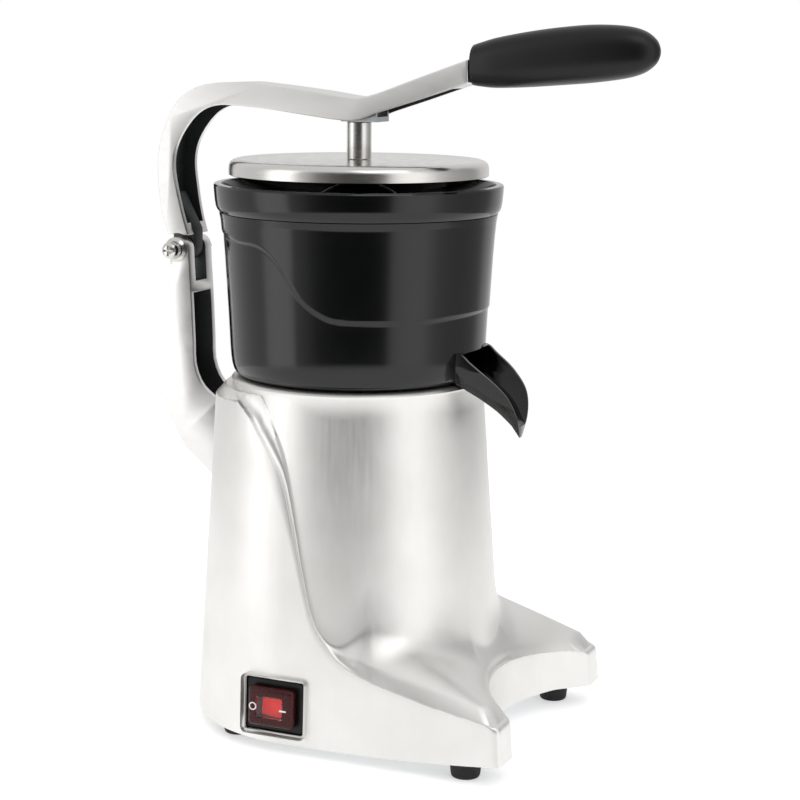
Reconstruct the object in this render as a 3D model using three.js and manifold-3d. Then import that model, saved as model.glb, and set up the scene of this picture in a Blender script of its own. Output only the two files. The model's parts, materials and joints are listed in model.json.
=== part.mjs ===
// Lever citrus press: a motor-driven juicer with a cast housing, a black juice bowl and a
// hand lever that presses a stainless lid and press cup down over a turning reamer cone.
// Millimetres, +Z up. The spout faces -Y, the lever's pivot is at +Y, the switch is on -X.
// The column's axis is x = 0, y = 0 while the parts are made; the last lines move the whole
// press so that the middle of its footprint box is the origin.
import * as THREE from 'three';
import { mergeVertices } from 'three/addons/utils/BufferGeometryUtils.js';
import Module from 'manifold-3d';

const wasm = await Module();
wasm.setup();

// ---------------------------------------------------------------- driving dimensions
const gap = 0.3;                 // clearance between pieces that touch

// Housing: column, tapered skirt with two front legs, deck
const housingTop = 248;          // height of the flat top that the bowl stands on
const wall = 4;                  // cast wall
const columnTopRadius = 87.3;
const columnFootRadius = 98.6;
const skirtRadius = 104.5;       // rounded back of the skirt, in plan
const skirtBackCentre = 10;      // how far behind the column axis that rounding is centred
const legFront = 151;            // front faces of the legs, ahead of the column axis
const legHalfWidth = 103.5;
const scoopRadius = 103;         // round bay between the legs, under the spout
const scoopDepth = legFront - 39; // nearest the bay comes to the column axis
const deckFront = 41;            // height of the deck at the legs' front edge
const crownHeight = 28;          // most that the deck rises between the leg's edge and the bay
const sideDraft = 0.045;         // how much each face leans in per mm of height
const backDraft = 0.065;
const frontDraft = 0.08;
const sillBack = 8;              // height of the skirt's lower edge at the back
const sillFront = 16.5;          // and at the tips of the legs

// Feet and base plate
const footHeight = 16.7;
const footTopRadius = 11.5;
const footBottomRadius = 9.5;
const footInset = footTopRadius + 1;         // foot's axis to the inner face of the wall
const frontFoot = { x: legHalfWidth - wall - footInset, y: 31 - legFront };
const backFootTurn = THREE.MathUtils.degToRad(32);
const backFootReach = skirtRadius - wall - footInset;
const backFoot = {
  x: backFootReach * Math.cos(backFootTurn),
  y: skirtBackCentre + backFootReach * Math.sin(backFootTurn),
};
const plateThickness = 2;
const footScrewRadius = 2.4;
const footBoreRadius = 2.7;

// Bowl, strainer and reamer
const bowlHeight = 132.4;
const bowlRimRadius = 100;
const bowlTopRadius = 95.8;      // wall just under the rim band
const bowlBaseRadius = 89.2;
const bowlWall = 3;
const rimBand = 18;              // height of the thick band at the rim
const bowlHubRadius = 16;
const ledgeHeight = bowlHeight - 85.4; // strainer ledge above the bowl's underside
const bowlHubHeight = ledgeHeight - 9;
const spoutHalfWidth = 27;
const spoutReach = 39;           // how far the lip stands out from the bowl's wall
const spoutDrop = 36;            // how far the lip hangs below the bowl's underside
const strainerSlots = 20;
const coneRadius = 37;
const coneHeight = 46;
const coneRibs = 8;

// Lid, stem and press cup
const lidRadius = 89.7;
const lidThickness = 10.5;
const lidGap = 5.8;              // between the rim and the lid's lower edge, lever down
const lidSheet = 1.5;
const cupRadius = 52;
const cupDepth = 66;
const cupWall = 3;
const stemRadius = 8.5;
const spigotRadius = 4.7;        // thin lower end of the stem, through lid and cup
const stemPinAbove = 33.5;       // stem pin above the lid
const stemPinRadius = 2.2;
const stemEyeRadius = 4.7;

// Lever arm, pivot, bracket and grip
const pivotSetback = 35.5;       // pivot axis behind the bowl's rim
const pivotBelowRim = 51.2;
const armWidth = 35;
const armNeckWidth = 30;         // at the pivot
const armTipWidth = 25;          // where it enters the grip
const armWall = 3.8;
const bracketWidth = 34;
const bracketWall = 4.5;
const forkSlot = 16;
const tongueWidth = 13;
const tongueRadius = 8.6;
const pivotScrewRadius = 3.5;
const pivotBoreRadius = 3.8;
const washerThickness = 0.9;
const gripLength = 127;
const gripHalfHeight = 18.8;
const gripHalfWidth = 17.5;
const tangWidth = 14;
const tangHeight = 10;
const tangLength = 66;

// Motor and drive
const motorRadius = 56;
const motorHeight = 84;
const motorWall = 3;
const mountHeight = 232;         // underside of the plate that the motor hangs from
const mountRadius = 74;
const mountThickness = 4;
const mountScrewCircle = 66;
const shaftRadius = 6;
const bearingRadius = 16;
const bearingWidth = 9;
const fanRadius = 46;
const capacitorRadius = 17;
const capacitorLength = 62;

// Switch
const switchCentre = { y: 13.6, z: 33.5 };
const switchPlate = { width: 43.4, height: 36.4, thickness: 1.6 };
const switchOpening = { width: 32, height: 26 };
const coverSize = { width: 34, height: 27, depth: 7.5, wall: 1.2 };
const rockerSize = { width: 20, height: 14, depth: 6 };
const rockerTilt = THREE.MathUtils.degToRad(8);

// ---------------------------------------------------------------- materials
const paint = (color, roughness, metalness) =>
  new THREE.MeshStandardMaterial({ color, roughness, metalness });
const castAluminium = () => paint('#c9cac8', 0.34, 0.95);
const polishedAluminium = () => paint('#dcdcda', 0.22, 0.95);
const stainless = () => paint('#cfd0d0', 0.18, 1.0);
const zincSteel = () => paint('#b9bab8', 0.4, 0.9);
const blackPlastic = () => paint('#111213', 0.22, 0.0);
const satinBlack = () => paint('#18191a', 0.45, 0.0);
const blackRubber = () => paint('#0d0d0d', 0.8, 0.0);
const whitePlastic = () => paint('#e9e6dc', 0.45, 0.0);
const redPlastic = () => paint('#c4121c', 0.3, 0.0);
const darkRedPlastic = () => paint('#4a1013', 0.25, 0.0);
const motorSteel = () => paint('#6f7376', 0.5, 0.8);

// ---------------------------------------------------------------- solids
const press = new THREE.Group();

// A three.js geometry as a manifold solid, and a manifold solid as a geometry.
function solid(geometry) {
  const bare = geometry.index ? geometry.toNonIndexed() : geometry.clone();
  for (const name of ['normal', 'uv']) bare.deleteAttribute(name);
  const merged = mergeVertices(bare, 1e-4);
  const corners = [];
  for (let i = 0; i < merged.index.count; i += 3) {
    const [a, b, c] = [0, 1, 2].map((k) => merged.index.getX(i + k));
    if (a !== b && b !== c && c !== a) corners.push(a, b, c);
  }
  return new wasm.Manifold(new wasm.Mesh({
    numProp: 3,
    vertProperties: new Float32Array(merged.attributes.position.array),
    triVerts: new Uint32Array(corners),
  }));
}

function geometryOf(body) {
  const mesh = body.getMesh();
  const geometry = new THREE.BufferGeometry();
  geometry.setAttribute('position', new THREE.BufferAttribute(mesh.vertProperties, 3));
  geometry.setIndex(new THREE.BufferAttribute(mesh.triVerts, 1));
  geometry.computeVertexNormals();
  return geometry;
}

function add(name, body, material, parent = press) {
  const geometry = body instanceof THREE.BufferGeometry ? body : geometryOf(body);
  const mesh = new THREE.Mesh(geometry, material);
  mesh.name = name;
  parent.add(mesh);
  return mesh;
}

// Turned part: [radius, height] points running up the outside, spun about +Z.
function turned(points, segments = 48) {
  const profile = points.map(([r, z]) => new THREE.Vector2(r, z));
  return new THREE.LatheGeometry(profile, segments).rotateX(Math.PI / 2);
}

// Ring with a square section.
function ring(inner, outer, low, high, segments = 32) {
  const corners = [[inner, low], [outer, low], [outer, high], [inner, high], [inner, low]];
  return turned(corners, segments);
}

function rod(radius, low, high, segments = 24) {
  return turned([[0, low], [radius, low], [radius, high], [0, high]], segments);
}

// Outline in the Y-Z plane, given a thickness along X and centred on x = 0.
function alongX(shape, width, curveSegments = 6) {
  const options = { depth: width, bevelEnabled: false, curveSegments };
  const geometry = new THREE.ExtrudeGeometry(shape, options);
  const basis = new THREE.Matrix4().makeBasis(
    new THREE.Vector3(0, 1, 0), new THREE.Vector3(0, 0, 1), new THREE.Vector3(1, 0, 0));
  return geometry.applyMatrix4(basis).translate(-width / 2, 0, 0);
}

// Outline in the X-Y plane, raised from one height to another.
function upright(shape, low, high, curveSegments = 12) {
  const options = { depth: high - low, bevelEnabled: false, curveSegments };
  return new THREE.ExtrudeGeometry(shape, options).translate(0, 0, low);
}

// Six-sided nut whose faces clear a shaft of the given radius.
function hexNut(bore, corner, low, high) {
  return ring(bore / Math.cos(Math.PI / 6), corner, low, high, 6);
}

function box(width, length, height) {
  return new THREE.BoxGeometry(width, length, height);
}

function outline(points) {
  return new THREE.Shape(points.map(([a, b]) => new THREE.Vector2(a, b)));
}

// Smooth curve through a few points, sampled evenly.
function curve(points, samples) {
  return new THREE.SplineCurve(points.map(([a, b]) => new THREE.Vector2(a, b))).getPoints(samples);
}

// The same curve moved sideways: to its right as it runs, or to its left by a minus.
function offset(line, distance) {
  return line.map((point, i) => {
    const before = line[Math.max(i - 1, 0)];
    const after = line[Math.min(i + 1, line.length - 1)];
    const along = after.clone().sub(before).normalize();
    return new THREE.Vector2(point.x + along.y * distance, point.y - along.x * distance);
  });
}

// One of something for each of `count` even turns about an axis.
const ringOf = (count, place) =>
  Array.from({ length: count }, (_, i) => place((i * 2 * Math.PI) / count));

// ---------------------------------------------------------------- housing
const columnSlope = (columnFootRadius - columnTopRadius) / (housingTop - 100);

// Plan outline of the skirt, with every wall moved inwards by `inset`.
function skirtPlan(inset) {
  const back = skirtRadius - inset;
  const front = -legFront + inset;
  const half = legHalfWidth - inset;
  const scoop = scoopRadius + inset;
  const scoopCentre = -scoopDepth - scoopRadius;
  const reach = Math.asin((front - scoopCentre) / scoop);
  const corner = 5;
  const shape = new THREE.Shape();
  shape.moveTo(half, front + corner);
  shape.lineTo(back, skirtBackCentre);
  shape.absarc(0, skirtBackCentre, back, 0, Math.PI, false);
  shape.lineTo(-half, front + corner);
  shape.quadraticCurveTo(-half, front, -half + corner, front);
  shape.absarc(0, scoopCentre, scoop, Math.PI - reach, reach, true);
  shape.lineTo(half - corner, front);
  shape.quadraticCurveTo(half, front, half, front + corner);
  return shape;
}

// The skirt as a prism whose faces lean in towards the column as they rise.
function skirtPrism(inset, low, high) {
  const geometry = upright(skirtPlan(inset), low, high, 10);
  const place = geometry.attributes.position;
  for (let i = 0; i < place.count; i += 1) {
    const [x, y, z] = [place.getX(i), place.getY(i), place.getZ(i)];
    const lean = y > 0 ? backDraft / (skirtRadius + skirtBackCentre) : frontDraft / legFront;
    place.setX(i, x * (1 - (sideDraft * (z - sillBack)) / skirtRadius));
    place.setY(i, y * (1 - lean * (z - sillBack)));
  }
  return solid(geometry);
}

// Side view of the skirt: level sill, legs, deck, and the edge that sweeps up to the top.
function skirtSide() {
  const sweep = curve([
    [-legFront + 2, deckFront], [-104, deckFront + 8], [-64, deckFront + 17],
    [-37, deckFront + 27], [-17, deckFront + 47], [-7, deckFront + 75],
    [6, housingTop - 79], [18, housingTop - 46],
    [45, housingTop - 16], [76, housingTop + 2],
  ], 15);
  const shape = new THREE.Shape();
  shape.moveTo(150, sillBack);
  shape.lineTo(150, housingTop + 2);
  for (const point of sweep.reverse()) shape.lineTo(point.x, point.y);
  shape.lineTo(-legFront - 20, deckFront - 2);
  shape.lineTo(-legFront - 20, sillFront + 1);
  shape.quadraticCurveTo(-80, sillBack, -20, sillBack);
  return alongX(shape, 3 * skirtRadius, 4);
}

// Crown of the deck: it rises between the legs' outer edges and the bay.
function deckHeight(x, y) {
  const run = y + legFront;
  const edge = deckFront + 0.18 * run + 0.0002 * run * run;
  const fromEdge = Math.max(0, legHalfWidth - Math.abs(x));
  const fromBay = Math.max(0, Math.hypot(x, y + scoopDepth + scoopRadius) - scoopRadius);
  const swell = (1 - Math.exp(-fromEdge / 14)) * (1 - Math.exp(-fromBay / 22));
  return edge - 0.4 + crownHeight * swell * THREE.MathUtils.smoothstep(-y, 20, 50);
}

function deckCrown() {
  const back = -20;
  const length = legFront + back;
  const crown = new THREE.BoxGeometry(2 * legHalfWidth, length, 2, 14, 8, 1);
  crown.translate(0, back - length / 2, 0);
  const place = crown.attributes.position;
  for (let i = 0; i < place.count; i += 1) {
    const top = place.getZ(i) > 0;
    place.setZ(i, top ? deckHeight(place.getX(i), place.getY(i)) : sillFront + 2);
  }
  return solid(crown);
}

// Column, or its hollow when `inset` is the wall.
const columnRadius = (z) => columnFootRadius - columnSlope * (z - 100);
function column(inset) {
  const low = inset > 0 ? -1 : sillBack + 12;
  const high = inset > 0 ? housingTop - 6 : housingTop + 2;
  return solid(turned([
    [0, low], [columnRadius(low) - inset, low], [columnRadius(high) - inset, high], [0, high],
  ], 36));
}

// Fillet where the column meets the deck.
function columnFoot() {
  const low = sillBack + 12;
  const deck = deckFront + 7;
  return solid(turned([
    [0, low], [columnRadius(deck) + 9, low], [columnRadius(deck) + 9, deck],
    [columnRadius(deck) + 4, deck + 4], [columnRadius(deck) + 1, deck + 12],
    [columnRadius(deck + 24) - 0.5, deck + 24], [0, deck + 24],
  ], 36)).intersect(skirtPrism(0, sillBack - 2, 140));
}

function shoulder() {
  return solid(turned([
    [0, 0], [200, 0], [200, housingTop - 32], [107, housingTop - 22], [96, housingTop - 10],
    [88, housingTop - 2], [82, housingTop], [0, housingTop],
  ], 36));
}

const feet = {
  foot_front_left: [-frontFoot.x, frontFoot.y],
  foot_front_right: [frontFoot.x, frontFoot.y],
  foot_back_left: [-backFoot.x, backFoot.y],
  foot_back_right: [backFoot.x, backFoot.y],
};
const plateTop = footHeight + gap + plateThickness;
const mountScrews = ringOf(4, (a) => [
  mountScrewCircle * Math.cos(a + Math.PI / 4), mountScrewCircle * Math.sin(a + Math.PI / 4),
]);

// Switch frame: its own group on the leaning side wall, local -X pointing out of the wall.
const panelX = skirtRadius - sideDraft * (switchCentre.z - sillBack);
const switchGroup = new THREE.Group();
switchGroup.position.set(-panelX, switchCentre.y, switchCentre.z);
switchGroup.rotation.y = Math.atan(sideDraft);
switchGroup.updateMatrix();
press.add(switchGroup);
const onPanel = (geometry) => solid(geometry.applyMatrix4(switchGroup.matrix));
const recessDepth = switchPlate.thickness + 1.2;

// Bolt axes of the bracket, through the back wall
const bracketBolts = { bracket_bolt_upper: housingTop - 42, bracket_bolt_lower: housingTop - 62 };
const bracketBoltRadius = 2.5;
const backWall = (z) => (skirtRadius + skirtBackCentre)
  * (1 - (backDraft / (skirtRadius + skirtBackCentre)) * (z - sillBack));

const glandHeight = 36;
const glandRadius = 8;

function lengthwise(geometry) {
  return geometry.rotateX(-Math.PI / 2);
}

function housing() {
  const side = solid(skirtSide());
  const skirt = skirtPrism(0, sillBack - 2, housingTop + 2).intersect(side);
  const crown = deckCrown().intersect(skirtPrism(0, sillBack - 2, 140));
  const pad = onPanel(box(1.6, switchPlate.width + 8, switchPlate.height + 8).translate(0.2, 0, 0));
  const nose = box(3 * skirtRadius, 10, 10).rotateX(Math.PI / 4)
    .translate(0, -legFront - 3, deckFront + 3.6);
  const outside = skirt.add(crown).subtract(solid(nose))
    .add(columnFoot()).add(column(0)).add(pad).intersect(shoulder());

  const below = housingTop - 32;
  const lowered = side.translate([0, wall, -wall - 1]).add(side.translate([0, wall, -wall - 9]))
    .intersect(solid(box(400, 400, below).translate(0, 0, below / 2)));
  const inner = skirtPrism(wall, sillBack - 4, housingTop + 2).intersect(lowered);
  let body = outside.subtract(inner).subtract(column(wall));

  for (const [x, y] of Object.values(feet)) {
    const postTop = deckHeight(x, Math.min(y, -100)) - 2;
    const low = plateTop + gap;
    const turn = Math.atan2(y > 0 ? y - skirtBackCentre : 0, x);
    const web = box(24, 5, postTop - low).translate(12, 0, (postTop + low) / 2)
      .rotateZ(turn).translate(x, y, 0);
    const post = solid(rod(6.5, low, postTop, 12).translate(x, y, 0)).add(solid(web));
    const thread = solid(rod(footBoreRadius, plateTop - 1, plateTop + 15, 10).translate(x, y, 0));
    body = body.add(post.intersect(outside)).subtract(thread);
  }
  for (const [x, y] of mountScrews) {
    const post = rod(6, mountHeight + mountThickness + gap, housingTop - 4, 12).translate(x, y, 0);
    const thread = rod(2.4, mountHeight, housingTop - 5, 8).translate(x, y, 0);
    body = body.add(solid(post)).subtract(solid(thread));
  }
  body = body.subtract(solid(rod(bearingRadius - 4, housingTop - 10, housingTop + 1, 32)));
  const recess = box(2 * recessDepth, switchPlate.width + 0.6, switchPlate.height + 0.6);
  const throat = box(40, switchOpening.width, switchOpening.height);
  body = body.subtract(onPanel(recess)).subtract(onPanel(throat));
  for (const z of Object.values(bracketBolts)) {
    const bolt = lengthwise(rod(bracketBoltRadius + gap, 0, 40, 16));
    body = body.subtract(solid(bolt.translate(0, backWall(z) - 20, z)));
  }
  const glandHole = lengthwise(rod(glandRadius, 0, 30));
  return body.subtract(solid(glandHole.translate(0, backWall(glandHeight) - 15, glandHeight)));
}
const housingBody = housing();
add('base_housing', housingBody, castAluminium());

// ---------------------------------------------------------------- base plate and feet
function basePlate() {
  let plate = skirtPrism(wall + 0.6, footHeight + gap, plateTop);
  for (const [x, y] of Object.values(feet)) {
    plate = plate.subtract(solid(rod(footBoreRadius, 0, 60, 10).translate(x, y, 0)));
  }
  for (let i = -3; i <= 3; i += 1) {
    plate = plate.subtract(solid(box(5, 60, 20).translate(i * 12, 0, plateTop)));
  }
  return plate;
}
add('base_plate', basePlate(), zincSteel());

for (const [name, [x, y]] of Object.entries(feet)) {
  const foot = turned([
    [footBoreRadius + 0.2, 6], [5.8, 6], [5.8, 0], [footBottomRadius - 1, 0], [footBottomRadius, 1.2],
    [footTopRadius, footHeight], [footBoreRadius + 0.2, footHeight], [footBoreRadius + 0.2, 6],
  ], 20);
  add(name, foot.translate(x, y, 0), blackRubber());
  const screw = turned([
    [0, 2.2], [3.6, 2.2], [5.0, 3.6], [5.0, 6 - gap], [footScrewRadius, 6 - gap],
    [footScrewRadius, plateTop + 13], [0, plateTop + 13],
  ], 10);
  add(name.replace('foot', 'foot_screw'), screw.translate(x, y, 0), zincSteel());
}

// ---------------------------------------------------------------- motor and drive
const motorTop = mountHeight - gap;
const motorBottom = motorTop - motorHeight;
const mountBore = bearingRadius + gap;

function motorMount() {
  let plate = solid(ring(mountBore, mountRadius, mountHeight, mountHeight + mountThickness, 32));
  for (const [x, y] of mountScrews) {
    plate = plate.subtract(solid(rod(2.6, mountHeight - 1, mountHeight + 9, 8).translate(x, y, 0)));
  }
  return plate;
}
add('motor_mount', motorMount(), zincSteel());

mountScrews.forEach(([x, y], i) => {
  const screw = turned([
    [0, mountHeight - 4], [4.2, mountHeight - 4], [4.2, mountHeight - gap], [2, mountHeight - gap],
    [2, housingTop - 7], [0, housingTop - 7],
  ], 8);
  add(`motor_screw_${i + 1}`, screw.translate(x, y, 0), zincSteel());
});

// Stator can, open below, with the upper bearing's seat in its end face
const bearingSeat = bearingRadius + gap;
const shaftBore = shaftRadius + 1;
const seatFloor = motorTop - bearingWidth - gap;
const motorCan = turned([
  [motorRadius - motorWall, motorBottom], [motorRadius, motorBottom], [motorRadius, motorTop],
  [bearingSeat, motorTop], [bearingSeat, seatFloor], [shaftBore, seatFloor],
  [shaftBore, motorTop - bearingWidth - 4], [motorRadius - motorWall, motorTop - bearingWidth - 4],
  [motorRadius - motorWall, motorBottom],
], 32);
add('motor_can', motorCan, motorSteel());
const stator = ring(33, motorRadius - motorWall - gap, motorBottom + 18, motorTop - 22, 32);
add('motor_stator', stator, zincSteel());

const bellTop = motorBottom - gap;
const endBell = turned([
  [shaftBore, bellTop - 13], [bearingSeat + 3, bellTop - 13], [motorRadius, bellTop - 3],
  [motorRadius, bellTop], [bearingSeat, bellTop], [bearingSeat, bellTop - bearingWidth - gap],
  [shaftBore, bellTop - bearingWidth - gap], [shaftBore, bellTop - 13],
], 32);
add('motor_end_bell', endBell, castAluminium());

const bearingLows = { upper_bearing: motorTop - bearingWidth, lower_bearing: bellTop - bearingWidth };
for (const [name, low] of Object.entries(bearingLows)) {
  add(name, ring(shaftRadius + gap, bearingRadius, low, low + bearingWidth - gap, 20), stainless());
}

const bowlBase = housingTop + 0.4;
const coneBase = bowlBase + ledgeHeight + 9;
const shaftTop = coneBase + 24;
const fanTop = bellTop - 17;
const shaft = turned([
  [0, fanTop - 16], [shaftRadius, fanTop - 16], [shaftRadius, motorBottom + 14],
  [28, motorBottom + 14], [28, motorTop - 26], [shaftRadius, motorTop - 26],
  [shaftRadius, shaftTop - 1], [shaftRadius - 1, shaftTop], [0, shaftTop],
], 20);
add('motor_shaft', shaft, stainless());

function coolingFan() {
  const hub = solid(ring(shaftRadius + gap, 13, fanTop - 12, fanTop, 24));
  const disc = solid(ring(12, fanRadius, fanTop - 2, fanTop, 32));
  const blades = ringOf(8, (a) => solid(box(fanRadius - 12, 2, 10)
    .translate((fanRadius + 12) / 2 - 1, 0, fanTop - 6.5).rotateZ(a)));
  return blades.reduce((fan, blade) => fan.add(blade), hub.add(disc));
}
add('cooling_fan', coolingFan(), satinBlack());

const sealRadius = bearingRadius - 4 - gap;
const shaftSeal = ring(shaftRadius + 0.5, sealRadius, housingTop - 5, housingTop - gap, 20);
add('shaft_seal', shaftSeal, blackRubber());

const capacitor = new THREE.CylinderGeometry(capacitorRadius, capacitorRadius, capacitorLength, 24)
  .rotateZ(Math.PI / 2).translate(0, 72, plateTop + capacitorRadius + 4);
add('run_capacitor', capacitor, satinBlack());

const gland = lengthwise(turned([
  [4, -7], [glandRadius - gap, -7], [glandRadius - gap, 1.2], [11, 1.2], [11, 3.2], [8, 7],
  [4, 7], [4, -7],
], 16)).translate(0, backWall(glandHeight) + 0.6, glandHeight);
add('cord_gland', gland, blackRubber());

// ---------------------------------------------------------------- bowl, strainer, cone
const rimTop = bowlBase + bowlHeight;
const ledge = bowlBase + ledgeHeight;
const bandLow = rimTop - rimBand;
const wallRadius = (z) =>
  THREE.MathUtils.mapLinear(z, bowlBase, bandLow, bowlBaseRadius, bowlTopRadius);

function spoutSide(lift) {
  const root = -bowlBaseRadius + 14;
  const lip = -bowlBaseRadius - spoutReach + 5;
  const upper = curve([
    [root, bowlBase + 24], [root - 12, bowlBase + 22.5], [lip + 29, bowlBase + 17],
    [lip + 14, bowlBase + 5], [lip + 4, bowlBase - 7], [lip, bowlBase - 22],
    [lip + 1, bowlBase - spoutDrop],
  ], 9);
  const lower = curve([
    [lip + 5, bowlBase - 27], [lip + 13, bowlBase - 17], [lip + 23, bowlBase - 9],
    [lip + 32, bowlBase - 3.4], [root - 9, bowlBase + 0.6], [root, bowlBase + 4],
  ], 6);
  const shape = new THREE.Shape(lift ? [
    ...upper.map((p) => new THREE.Vector2(p.x - 6, p.y + 12)),
    new THREE.Vector2(lip - 20, bowlBase - 50),
    ...lower.map((p) => new THREE.Vector2(p.x - lift * 0.7, p.y + lift)),
  ] : [...upper, ...lower]);
  return solid(alongX(shape, 4 * spoutHalfWidth));
}

// Front view of the spout: a shield that narrows to the lip.
function spoutFront(inset) {
  const half = spoutHalfWidth - inset;
  const right = curve([
    [half, bowlBase + 40], [half, bowlBase + 14], [half * 0.86, bowlBase + 2],
    [half * 0.6, bowlBase - 13], [half * 0.3, bowlBase - 26],
    [half * 0.06, bowlBase - spoutDrop - 1 + inset * 2],
  ], 7);
  const left = right.map((p) => new THREE.Vector2(-p.x, p.y)).reverse();
  const shape = new THREE.Shape([...right, ...left]);
  const geometry = new THREE.ExtrudeGeometry(shape, { depth: 120, bevelEnabled: false });
  return solid(geometry.rotateX(Math.PI / 2).translate(0, -20, 0));
}

function juiceBowl() {
  const inside = (z) => wallRadius(z) - bowlWall;
  const floor = bowlBase + bowlWall + 2;
  const shell = solid(turned([
    [bowlHubRadius - 3, bowlBase + 4], [bowlHubRadius + 2, bowlBase + 4],
    [bowlHubRadius + 6, bowlBase], [bowlBaseRadius - 13, bowlBase],
    [bowlBaseRadius - 5, bowlBase + 3], [bowlBaseRadius - 0.8, bowlBase + 10],
    [wallRadius(bowlBase + 20), bowlBase + 20], [wallRadius(bandLow - 3), bandLow - 3],
    [bowlRimRadius - 2, bandLow + 2], [bowlRimRadius - 1, bandLow + 6],
    [bowlRimRadius, rimTop - 2], [bowlRimRadius - 1, rimTop], [bowlRimRadius - 4.4, rimTop],
    [bowlRimRadius - 5.4, rimTop - 1.5], [inside(bandLow), bandLow], [inside(ledge), ledge],
    [inside(ledge) - 5, ledge - 1], [inside(ledge) - 5, ledge - 3], [inside(ledge - 6), ledge - 9],
    [bowlBaseRadius - 8, floor + 5], [bowlBaseRadius - 14, floor], [bowlHubRadius + 4, floor + 6],
    [bowlHubRadius, floor + 10], [bowlHubRadius - 1, bowlBase + bowlHubHeight],
    [bowlHubRadius - 3, bowlBase + bowlHubHeight], [bowlHubRadius - 3, bowlBase + 4],
  ], 40));
  const keep = solid(rod(bowlBaseRadius - 6, bowlBase - 60, rimTop, 40));
  const trough = spoutSide(0).intersect(spoutFront(0));
  const channel = spoutSide(bowlWall).intersect(spoutFront(bowlWall));
  const ceiling = solid(box(400, 400, 60).translate(0, 0, bowlBase + 22 + 30));
  return shell.add(trough.subtract(keep)).subtract(channel.subtract(ceiling).subtract(
    solid(rod(bowlBaseRadius - 20, bowlBase - 60, rimTop, 40))));
}
add('juice_bowl', juiceBowl(), blackPlastic());

function strainer() {
  const outer = wallRadius(ledge) - bowlWall - 1;
  const low = ledge + gap;
  const hub = bowlHubRadius + 8;
  let dish = solid(turned([
    [hub, low], [outer, low], [outer, low + 5], [outer - 1.5, low + 5],
    [outer - 1.5, low + 1.5], [hub, low + 1.5], [hub, low],
  ], 40));
  for (const angle of ringOf(strainerSlots, (a) => a)) {
    const slot = box(outer - hub - 16, 3, 8).translate((outer + hub) / 2, 0, low);
    dish = dish.subtract(solid(slot.rotateZ(angle)));
  }
  return dish;
}
add('strainer', strainer(), stainless());

function reamerCone() {
  const half = (t) => coneRadius * Math.cos((Math.PI / 2) * t ** 1.25) ** 0.7;
  const steps = [0, 1, 2, 3, 4, 5];
  const sides = steps.map((i) => [half(i / 6.3) - 3, coneBase + 5 + (coneHeight * i) / 6]);
  let cone = solid(turned([
    [0, coneBase + 26], [shaftRadius + gap, coneBase + 26], [shaftRadius + gap, coneBase - 4],
    [12, coneBase - 4], [13, coneBase], [coneRadius + 4, coneBase],
    [coneRadius + 4, coneBase + 3], ...sides, [0, coneBase + coneHeight + 3],
  ], 24));
  for (const angle of ringOf(coneRibs, (a) => a)) {
    const edge = steps.map((i) => [half(i / 5.5), coneBase + 3 + (coneHeight * i) / 5]);
    const socket = shaftRadius + 2;
    const rib = outline([
      [socket, coneBase + 2], ...edge, [3, coneBase + coneHeight + 3], [3, coneBase + 29],
      [socket, coneBase + 29],
    ]);
    cone = cone.add(solid(alongX(rib, 3).rotateZ(angle)));
  }
  return cone;
}
add('reamer_cone', reamerCone(), whitePlastic());

// ---------------------------------------------------------------- lid, cup and stem
const lidLow = rimTop + lidGap;
const lidTop = lidLow + lidThickness;
const pin = { y: 0, z: lidTop + stemPinAbove };
const hole = spigotRadius + gap;
const lid = turned([
  [hole, lidTop - lidSheet], [lidRadius - 5, lidTop - lidSheet],
  [lidRadius - lidSheet, lidTop - 6], [lidRadius - lidSheet, lidLow], [lidRadius, lidLow],
  [lidRadius, lidTop - 5], [lidRadius - 1.4, lidTop - 1.8], [lidRadius - 5, lidTop], [hole, lidTop],
  [hole, lidTop - lidSheet],
], 48);
add('press_lid', lid, stainless());

const cupTop = lidTop - lidSheet - gap;
const cupLow = lidLow + 1.5 - cupDepth;
const dome = (t, radius, height) => [radius * Math.sin(t), cupLow + height * Math.cos(t)];
const domeSteps = Array.from({ length: 6 }, (_, i) => (Math.PI / 2) * (1 - i / 6.9));
const outerDome = domeSteps.map((t) => dome(t, cupRadius, cupDepth - 6));
const innerDome = domeSteps.map((t) => dome(t, cupRadius - cupWall, cupDepth - 6 - cupWall)).reverse();
const nutSeat = cupLow + cupDepth - 11;
const pressCup = turned([
  ...outerDome, [14, cupTop - 5], [14, cupTop], [hole, cupTop], [hole, nutSeat], [11, nutSeat],
  ...innerDome, outerDome[0],
], 28);
add('press_cup', pressCup, satinBlack());

const nutTop = nutSeat - gap;
add('stem_nut', hexNut(hole, 9, nutTop - 6, nutTop), stainless());

function pressStem() {
  const stem = solid(turned([
    [0, nutTop - 8], [spigotRadius - 0.7, nutTop - 8], [spigotRadius, nutTop - 7],
    [spigotRadius, lidTop + gap], [stemRadius, lidTop + gap], [stemRadius, pin.z - 8],
    [stemEyeRadius - 0.4, pin.z - 5.4],
    [stemEyeRadius - 0.4, pin.z], [0, pin.z],
  ], 24));
  const eye = new THREE.SphereGeometry(stemEyeRadius, 14, 10);
  const bore = rod(stemPinRadius + gap, -20, 20, 14).rotateY(Math.PI / 2);
  return stem.add(solid(eye.translate(0, pin.y, pin.z)))
    .subtract(solid(bore.translate(0, pin.y, pin.z)));
}
add('press_stem', pressStem(), stainless());

// ---------------------------------------------------------------- lever arm
const pivot = { y: bowlRimRadius + pivotSetback, z: rimTop - pivotBelowRim };
const gripStart = -bowlRimRadius + 15;
const armEnd = gripStart + gap + 0.2;

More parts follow.
